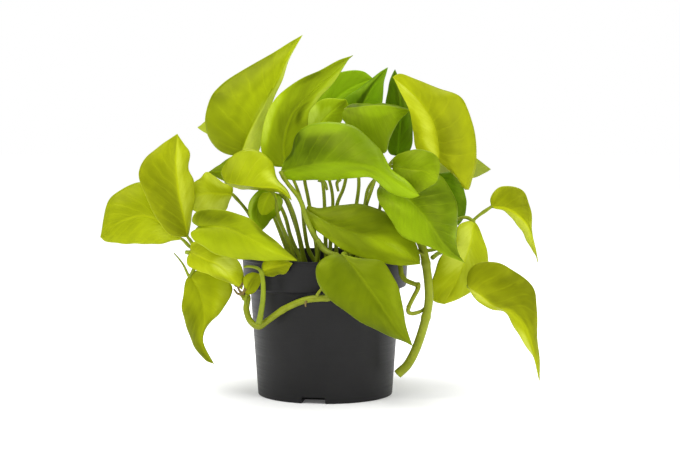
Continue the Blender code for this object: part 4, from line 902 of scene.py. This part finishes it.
def blade_material(name, leaf, seed, under=False):
    n = Nodes(name)
    u, v = n.uv("leaf")
    from_rib, from_edge = n.uv("span")
    t = n.math("MULTIPLY_ADD", u, 2.0, -1.0)
    far = n.math("ABSOLUTE", t)
    where = n.where()
    # The two halves' tones: partly the leaf's own colour, partly painted shade on the half turned from the
    # light.
    tone_a, tone_b = leaf.get("sides", (leaf["tone"], leaf["tone"]))
    hue = leaf["hue"]
    light, dark = max(tone_a, tone_b), min(tone_a, tone_b)
    tone = n.smooth(t, -0.12, 0.12, tone_a, tone_b)
    cloud = n.noise(where, 45 + seed % 7, 2.0, 0.5)
    tone = n.math("ADD", tone, n.smooth(cloud, 0.3, 0.7, -0.06, 0.06))
    # Painted light and painted shade: soft lighter and darker places on the blade, painted highlights among
    # them.
    for at_t, at_v, reach_t, reach_v, shift in leaf.get("painted_light_and_shade", ()):
        off_t = n.math("DIVIDE", n.math("SUBTRACT", t, at_t), reach_t)
        off_v = n.math("DIVIDE", n.math("SUBTRACT", v, at_v), reach_v)
        squared = n.math("ADD", n.math("MULTIPLY", off_t, off_t), n.math("MULTIPLY", off_v, off_v))
        tone = n.math("ADD", tone, n.smooth(squared, 1.0, 0.0, 0.0, shift))
    # Streaks that follow the side veins.
    warp = n.noise(where, 70, 2.0, 0.5)
    bend = n.math("MULTIPLY", n.math("POWER", far, VEIN_CURVE), VEIN_SWEEP)
    run = n.math("SUBTRACT", n.math("MULTIPLY", v, float(leaf.get("veins", VEIN_COUNT))), bend)
    run = n.math("ADD", run, n.math("MULTIPLY", n.math("GREATER_THAN", t, 0.0), VEIN_OFFSET))
    run = n.math("ADD", run, n.math("MULTIPLY", warp, 0.5))
    streak_at = n.node("ShaderNodeCombineXYZ")
    n.put(streak_at.inputs[0], run)
    n.put(streak_at.inputs[1], t)
    n.put(streak_at.inputs[2], float(seed))
    streak = n.noise(streak_at.outputs[0], 1.7, 4.0, 0.6)
    depth = leaf.get("streak", 0.07)
    tone = n.math("ADD", tone, n.smooth(streak, 0.3, 0.7, -depth, depth))
    tone = n.math("DIVIDE", n.math("MAXIMUM", tone, 0.0), TONE_TOP, clamp=True)
    colour = n.mix(tone, leaf_colour(0.0, hue - 0.15), leaf_colour(TONE_TOP, hue + 0.06))
    colour = n.mix(n.smooth(tone, 0.5, 0.9, 0.0, 0.4), colour, PALE_LEAF)
    wash = n.noise(where, 85, 3.0, 0.55)
    colour = n.mix(n.smooth(wash, 0.5, 0.75, 0.0, 0.22), colour, leaf_colour(light + 0.1, hue + 0.12))
    # Side veins: a shallow line every step of the run, bending towards the tip.
    saw = n.math("ABSOLUTE", n.math("SUBTRACT", n.math("FRACT", run), 0.5))
    shown = n.math("MULTIPLY", n.smooth(saw, 0.40, 0.5), n.smooth(far, 1.0, 0.55))
    shown = n.math("MULTIPLY", shown, n.smooth(v, 0.0, 0.12))
    # Finer veins between them.
    fine_run = n.math("FRACT", n.math("MULTIPLY", run, 3.0))
    fine = n.smooth(n.math("ABSOLUTE", n.math("SUBTRACT", fine_run, 0.5)), 0.32, 0.5)
    fine = n.math("MULTIPLY", fine, n.smooth(far, 1.0, 0.3))
    vein_light = leaf_colour(light + 0.3, hue + 0.1)
    vein_dark = leaf_colour(max(dark - 0.2, 0.0), hue - 0.1)
    strength = leaf.get("vein", 0.35)
    colour = n.mix(n.math("MULTIPLY", fine, 0.35 * strength), colour, vein_dark)
    colour = n.mix(n.math("MULTIPLY", shown, strength), colour, vein_light)
    rib_line = n.smooth(from_rib, 0.012, 0.004)
    rib_line = n.math("MULTIPLY", rib_line, n.smooth(v, 1.0, 0.5, 0.25, 1.0))
    colour = n.mix(n.math("MULTIPLY", rib_line, leaf.get("ribline", 0.55)), colour, vein_light)
    edge_line = n.smooth(from_edge, 0.006, 0.001)
    colour = n.mix(n.math("MULTIPLY", edge_line, 0.6), colour, vein_light)
    specks = n.noise(where, 900, 2.0, 0.6)
    colour = n.mix(n.smooth(specks, 0.55, 0.75, 0.0, 0.18), colour, vein_dark)
    if under:
        colour = n.mix(0.30, colour, (0.42, 0.50, 0.10))
    # The veins and the rib are sunk into the upper side and stand out below.
    height = n.math("ADD", n.math("MULTIPLY", shown, 1.0 if under else -1.0), n.math("MULTIPLY", fine, -0.3))
    height = n.math("ADD", height, n.math("MULTIPLY", rib_line, 1.0 if under else -0.8))
    relief = n.bump(height, min(0.5, 1.5 * strength), 0.0004)
    grain = n.bump(n.noise(where, 1500, 3.0, 0.6), 0.25, 0.0001, relief)
    low, high = (0.50, 0.66) if under else (0.30, 0.46)
    rough = n.smooth(n.noise(where, 220, 3.0, 0.6), 0.3, 0.7, low, high)
    n.shade(Base_Color=colour, Roughness=rough, Normal=grain, Specular_Tint=(1.0, 1.0, 0.10),
            Specular_IOR_Level=0.28 if under else 0.36)
    # Light that comes through the blade.
    glow = n.node("ShaderNodeBsdfTranslucent")
    n.put(glow.inputs["Color"], n.mix(0.5, colour, (0.62, 0.66, 0.03)))
    n.put(glow.inputs["Normal"], grain)
    both = n.node("ShaderNodeMixShader")
    n.put(both.inputs[0], 0.30)
    n.put(both.inputs[1], n.shader.outputs[0])
    n.put(both.inputs[2], glow.outputs[0])
    n.put(n.output.inputs["Surface"], both.outputs[0])
    return n.material


def stalk_material(name, low, high, rough=0.42):
    """A stalk's skin, from the colour low at its foot to high at its end."""
    n = Nodes(name)
    around, along = n.uv("leaf")
    where = n.where()
    colour = n.mix(n.smooth(along, 0.0, 0.9), low, high)
    cloud = n.noise(where, 160, 3.0, 0.6)
    colour = n.mix(n.smooth(cloud, 0.35, 0.7, 0.0, 0.45), colour, tuple(0.55 * c for c in low))
    # Painted highlight: a lighter stripe along one side of the stalk.
    colour = n.mix(n.smooth(around, 0.55, 0.95, 0.0, 0.5), colour, tuple(1.35 * c for c in low))
    specks = n.noise(where, 900, 2.0, 0.6)
    colour = n.mix(n.smooth(specks, 0.6, 0.75, 0.0, 0.3), colour, (0.22, 0.16, 0.03))
    n.shade(Base_Color=colour, Roughness=n.smooth(cloud, 0.3, 0.7, rough - 0.08, rough + 0.08),
            Normal=n.bump(specks, 0.3, 0.0002), Specular_IOR_Level=0.35, Specular_Tint=(1.0, 1.0, 0.55))
    return n.material


def pot_material():
    n = Nodes("pot_plastic_moulded")
    where = n.where()
    cloud = n.noise(where, 30, 4.0, 0.6)
    rings = n.node("ShaderNodeMapping")
    n.put(rings.inputs["Vector"], where)
    n.put(rings.inputs["Scale"], (0.4, 0.4, 12.0))
    flow = n.noise(rings.outputs[0], 60, 3.0, 0.5)
    colour = n.mix(n.smooth(cloud, 0.3, 0.7), (0.0065, 0.0063, 0.0066), (0.0095, 0.0092, 0.0096))
    colour = n.mix(n.smooth(flow, 0.5, 0.8, 0.0, 0.35), colour, (0.0145, 0.0142, 0.0148))
    scuff = n.noise(where, 420, 4.0, 0.7)
    colour = n.mix(n.smooth(scuff, 0.66, 0.8, 0.0, 0.4), colour, (0.045, 0.044, 0.042))
    grain = n.noise(where, 1400, 3.0, 0.6)
    rough = n.math("ADD", n.smooth(flow, 0.2, 0.8, 0.40, 0.50), n.smooth(grain, 0.3, 0.7, -0.03, 0.05))
    relief = n.bump(flow, 0.12, 0.0003)
    n.shade(Base_Color=colour, Roughness=rough, Normal=n.bump(grain, 0.22, 0.00008, relief),
            Specular_IOR_Level=0.22)
    return n.material


def soil_material():
    n = Nodes("soil_mix")
    where = n.where()
    lumps = n.noise(where, 260, 5.0, 0.7)
    colour = n.mix(n.smooth(lumps, 0.3, 0.7), (0.014, 0.009, 0.006), (0.060, 0.038, 0.024))
    fibre = n.noise(where, 900, 3.0, 0.7)
    colour = n.mix(n.smooth(fibre, 0.6, 0.75, 0.0, 0.6), colour, (0.13, 0.085, 0.05))
    n.shade(Base_Color=colour, Roughness=n.smooth(lumps, 0.2, 0.8, 0.85, 1.0),
            Normal=n.bump(lumps, 0.8, 0.001))
    return n.material


def perlite_material():
    n = Nodes("perlite")
    speck = n.smooth(n.noise(n.where(), 1200, 3.0, 0.6), 0.3, 0.7)
    n.shade(Base_Color=n.mix(speck, (0.42, 0.40, 0.36), (0.72, 0.70, 0.66)), Roughness=0.9)
    return n.material


# ---- pot and soil -------------------------------------------------------------------------


def turned(profile, sides):
    """Points and faces of a turned shell from (radius, z) pairs; a radius of 0 is on the axis."""
    points, rings, faces = [], [], []
    for radius, z in profile:
        if radius == 0:
            rings.append([len(points)])
            points.append((0.0, 0.0, z))
            continue
        rings.append(list(range(len(points), len(points) + sides)))
        for k in range(sides):
            turn = 2 * math.pi * k / sides
            points.append((radius * math.cos(turn), radius * math.sin(turn), z))
    for low, high in zip(rings, rings[1:]):
        for k in range(sides):
            after = (k + 1) % sides
            if len(low) == 1:
                faces.append((low[0], high[after], high[k]))
            elif len(high) == 1:
                faces.append((low[k], low[after], high[0]))
            else:
                faces.append((low[k], low[after], high[after], high[k]))
    return points, faces


def rounded(corners, radius, steps=4):
    """A profile with each inner corner turned into a small arc."""
    corners = [np.array(c, float) for c in corners]
    out = [corners[0]]
    for before, corner, after in zip(corners, corners[1:], corners[2:]):
        to_before, to_after = before - corner, after - corner
        reach = min(radius, 0.45 * np.linalg.norm(to_before), 0.45 * np.linalg.norm(to_after))
        start = corner + to_before / np.linalg.norm(to_before) * reach
        end = corner + to_after / np.linalg.norm(to_after) * reach
        for k in range(steps + 1):
            s = k / steps
            out.append((1 - s) ** 2 * start + 2 * s * (1 - s) * corner + s * s * end)
    out.append(corners[-1])
    return out


def pot_inner_radius(z):
    share = (z - POT_FLOOR) / (COLLAR_BOTTOM - POT_FLOOR)
    low = POT_FOOT_RADIUS - POT_WALL
    return low + (POT_BODY_TOP_RADIUS - POT_WALL - low) * share


def pot_piece():
    corners = (
        (0, FOOT_RECESS), (POT_FOOT_RADIUS - FOOT_RING - 1, FOOT_RECESS), (POT_FOOT_RADIUS - FOOT_RING, 0),
        (POT_FOOT_RADIUS, 0),
        (POT_BODY_TOP_RADIUS, COLLAR_BOTTOM - 1.0), (COLLAR_LOW_RADIUS, COLLAR_BOTTOM),
        (COLLAR_TOP_RADIUS - 0.5, POT_HEIGHT - 3.2), (COLLAR_TOP_RADIUS, POT_HEIGHT - 2.8),
        (COLLAR_TOP_RADIUS, POT_HEIGHT),
        (COLLAR_TOP_RADIUS - POT_WALL, POT_HEIGHT),
        (COLLAR_LOW_RADIUS - POT_WALL, COLLAR_BOTTOM + POT_WALL),
        (pot_inner_radius(COLLAR_BOTTOM), COLLAR_BOTTOM), (pot_inner_radius(POT_FLOOR), POT_FLOOR),
        (0, POT_FLOOR),
    )
    profile = [tuple(p) for p in rounded(corners, POT_CORNER)[1:-1]]
    pot = mesh_object("pot_shell", *turned([corners[0], *profile, corners[-1]], POT_SIDES))
    for k in range(DRAIN_COUNT):
        turn = DRAIN_FIRST_ANGLE + 2 * math.pi * k / DRAIN_COUNT
        for cutter in (channel(turn), drain_hole(turn)):
            cut = pot.modifiers.new("cut", "BOOLEAN")
            cut.object = cutter
            cut.operation = "DIFFERENCE"
            cut.solver = "EXACT"
            graph = bpy.context.evaluated_depsgraph_get()
            pot.data = bpy.data.meshes.new_from_object(pot.evaluated_get(graph))
            pot.modifiers.clear()
            bpy.data.objects.remove(cutter)
    pot.data.shade_smooth()
    pot.data.set_sharp_from_angle(angle=SHARP_ANGLE)
    pot.data.materials.clear()
    return pot


def channel(turn):
    """The cutter of a drain channel across the edge of the foot."""
    half, below = DRAIN_WIDTH / 2, -POT_FLOOR
    corners = ((-half, below), (-half, DRAIN_HEIGHT), (half, DRAIN_HEIGHT), (half, below))
    section = rounded(corners, DRAIN_CORNER)
    ends = (POT_FOOT_RADIUS - DRAIN_LENGTH, POT_FOOT_RADIUS + DRAIN_LENGTH)
    return closed_sweep("channel", [(x, y, z) for x in ends for y, z in section], turn)


def drain_hole(turn):
    """The cutter of a round drain hole through the pot's floor."""
    rows = []
    for z in (-POT_FLOOR, 2 * POT_FLOOR):
        for k in range(DRAIN_HOLE_SIDES):
            a = 2 * math.pi * k / DRAIN_HOLE_SIDES
            rows.append((DRAIN_HOLE_AT + DRAIN_HOLE_RADIUS * math.cos(a), DRAIN_HOLE_RADIUS * math.sin(a), z))
    return closed_sweep("hole", rows, turn)


def closed_sweep(name, rows, turn):
    """A prism between two like rings of points, turned about the pot's axis, faces outward."""
    cos, sin, count = math.cos(turn), math.sin(turn), len(rows) // 2
    points = [(x * cos - y * sin, x * sin + y * cos, z) for x, y, z in rows]
    faces = [(k, (k + 1) % count, (k + 1) % count + count, k + count) for k in range(count)]
    faces += [tuple(range(count - 1, -1, -1)), tuple(range(count, 2 * count))]
    obj = mesh_object(name, points, faces)
    shape = bmesh.new()
    shape.from_mesh(obj.data)
    bmesh.ops.recalc_face_normals(shape, faces=shape.faces)
    if shape.calc_volume(signed=True) < 0:
        bmesh.ops.reverse_faces(shape, faces=shape.faces)
    shape.to_mesh(obj.data)
    shape.free()
    return obj


def lumpy(x, y, waves):
    """The height of the soil's lumps over its level, at x and y."""
    return sum(size * np.sin(kx * x + ky * y + phase) for kx, ky, phase, size in waves)


def soil_piece():
    rng = np.random.default_rng(SOIL_SEED)
    waves = [(rng.normal(0, 0.25 * 1.6**k), rng.normal(0, 0.25 * 1.6**k), rng.uniform(0, 6.28), 0.5 / 1.35**k)
             for k in range(SOIL_WAVES)]
    radius = COLLAR_LOW_RADIUS - POT_WALL - SOIL_GAP + (SOIL_TOP - COLLAR_BOTTOM) * 0.07
    profile = [(0, POT_FLOOR + SOIL_GAP), (pot_inner_radius(POT_FLOOR) - SOIL_GAP, POT_FLOOR + SOIL_GAP),
               (pot_inner_radius(COLLAR_BOTTOM) - SOIL_GAP, COLLAR_BOTTOM - SOIL_GAP),
               (radius - 1.0, COLLAR_BOTTOM + 2.6), (radius, SOIL_TOP - 2)]
    profile += [(radius * k / SOIL_RINGS, SOIL_TOP) for k in range(SOIL_RINGS, -1, -1)]
    points, faces = turned(profile, SOIL_SIDES)
    points = np.array(points)
    high = points[:, 2] > SOIL_TOP - 1
    points[high, 2] += lumpy(points[high, 0], points[high, 1], waves).clip(-SOIL_LUMP, SOIL_LUMP)
    parts = [(points, faces, {}, [0] * len(faces))]
    for _ in range(CRUMB_COUNT):
        r, a = (radius - 3) * math.sqrt(rng.uniform()), rng.uniform(0, 2 * math.pi)
        x, y = r * math.cos(a), r * math.sin(a)
        size = rng.uniform(*CRUMB_SIZES)
        points, faces = crumb(rng, (x, y, SOIL_TOP + lumpy(x, y, waves)), size)
        parts.append((points, faces, {}, [1 if rng.uniform() < PERLITE_SHARE else 0] * len(faces)))
    return mesh_object("soil_bed", *join(parts))


def crumb(rng, centre, size):
    """A rough little lump: a squashed eight-cornered block with its corners moved."""
    corners = np.array([(sx, sy, sz) for sz in (-1, 1) for sy in (-1, 1) for sx in (-1, 1)], float)
    corners *= size * rng.uniform(0.45, 0.75, 3) * rng.uniform(0.7, 1.15, (8, 1))
    turn = Matrix.Rotation(rng.uniform(0, 6.28), 3, Vector(rng.normal(0, 1, 3)).normalized())
    corners = corners @ np.array(turn).T + np.array(centre)
    faces = [(0, 2, 3, 1), (4, 5, 7, 6), (0, 1, 5, 4), (2, 6, 7, 3), (0, 4, 6, 2), (1, 3, 7, 5)]
    return corners, faces


# ---- making the plant ---------------------------------------------------------------------


def slot_of(tone):
    return "leaf_neon" if tone >= 0.6 else "leaf_olive" if tone >= 0.3 else "leaf_deep"


def place(piece, node, slot, *materials):
    for material in materials:
        piece.data.materials.append(material)
    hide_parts(node)
    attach(piece, "root")


stalk_green = stalk_material("stalk_green", (0.20, 0.26, 0.012), (0.23, 0.29, 0.01))
stem_skin = stalk_material("stem_skin", (0.20, 0.24, 0.008), (0.22, 0.26, 0.01), 0.40)
dry_skin = stalk_material("dry_skin", (0.15, 0.11, 0.035), (0.20, 0.14, 0.045), 0.8)

for number, (name, leaf) in enumerate(LEAVES.items()):
    upper = blade_material(name + "_upper", leaf, number)
    under = blade_material(name + "_under", leaf, number, under=True)
    piece = leaf_piece(name, leaf, FIRST_LEAF_SEED + number)
    place(piece, name, slot_of(leaf["tone"]), upper, under, stalk_green, dry_skin)

for name, stem in STEMS.items():
    place(stem_piece(name, stem), name, "stem_green", stem_skin, dry_skin)

place(pot_piece(), "pot", "pot_plastic", pot_material())
place(soil_piece(), "soil", "soil", soil_material(), perlite_material())


# ---- studio -------------------------------------------------------------------------------

FLOOR_HALF = 6000
PALE = (0.90, 0.90, 0.90)
PALER = (0.93, 0.93, 0.93)
WHITE = (1.0, 1.0, 1.0)


def stage_material():
    """Pale paper, lit from within away from the pot so that it runs into the white backdrop."""
    n = Nodes("studio_white")
    paper = n.noise(n.where(), 8, 2.0, 0.5)
    away = n.node("ShaderNodeVectorMath", operation="LENGTH")
    n.put(away.inputs[0], n.where())
    n.shade(Base_Color=n.mix(n.smooth(paper, 0.3, 0.7), PALE, PALER), Roughness=0.9, Specular_IOR_Level=0.0,
            Emission_Color=WHITE, Emission_Strength=n.smooth(away.outputs["Value"], 0.05, 0.19, 0.07, 0.55))
    return n.material


floor_corners = [(x * FLOOR_HALF, y * FLOOR_HALF, 0) for x, y in ((-1, -1), (1, -1), (1, 1), (-1, 1))]
floor = mesh_object("studio_floor", floor_corners, [(0, 1, 2, 3)])
floor.data.materials.append(stage_material())

world = bpy.data.worlds.new("studio")
bpy.context.scene.world = world
world.use_nodes = True
tree = world.node_tree
rays = tree.nodes.new("ShaderNodeLightPath")


def background(strength):
    made = tree.nodes.new("ShaderNodeBackground")
    made.inputs[0].default_value = (*WHITE, 1.0)
    made.inputs[1].default_value = strength
    return made.outputs[0]


def choose(rays_kind, other, chosen):
    """One light for a kind of ray and another for the rest."""
    made = tree.nodes.new("ShaderNodeMixShader")
    for socket, value in zip(made.inputs, (rays.outputs[rays_kind], other, chosen)):
        tree.links.new(value, socket)
    return made.outputs[0]


# The sky lights the plant softly, is dim in reflections and shows plain white to the camera.
sky = choose("Is Glossy Ray", background(0.5), background(0.06))
tree.links.new(choose("Is Camera Ray", sky, background(1.0)), tree.nodes["World Output"].inputs[0])


def softbox(name, at, aim, size, power):
    data = bpy.data.lights.new(name, "AREA")
    data.shape = "RECTANGLE"
    data.size, data.size_y = size
    data.energy = power
    lamp = bpy.data.objects.new(name, data)
    bpy.context.scene.collection.objects.link(lamp)
    lamp.location = at
    way = Vector(aim) - Vector(at)
    lamp.rotation_euler = way.to_track_quat("-Z", "Y").to_euler()


softbox("key", (-0.75, -0.55, 1.15), (0, 0, 0.14), (0.9, 0.9), 12)
softbox("fill", (0.95, -0.85, 0.75), (0, 0, 0.12), (0.9, 0.9), 9)
softbox("top", (0.1, 0.35, 1.3), (0, 0, 0.15), (1.0, 0.8), 8)

camera_data = bpy.data.cameras.new("camera")
camera = bpy.data.objects.new("camera", camera_data)
bpy.context.scene.collection.objects.link(camera)
camera.location = SIGHT * MM
camera.rotation_euler = (math.pi / 2 - SIGHT_PITCH, 0, 0)
camera_data.sensor_width = 36.0
camera_data.lens = SIGHT_LENS
camera_data.clip_start = 0.05
camera_data.clip_end = 50
bpy.context.scene.camera = camera
bpy.context.scene.view_settings.view_transform = "Standard"
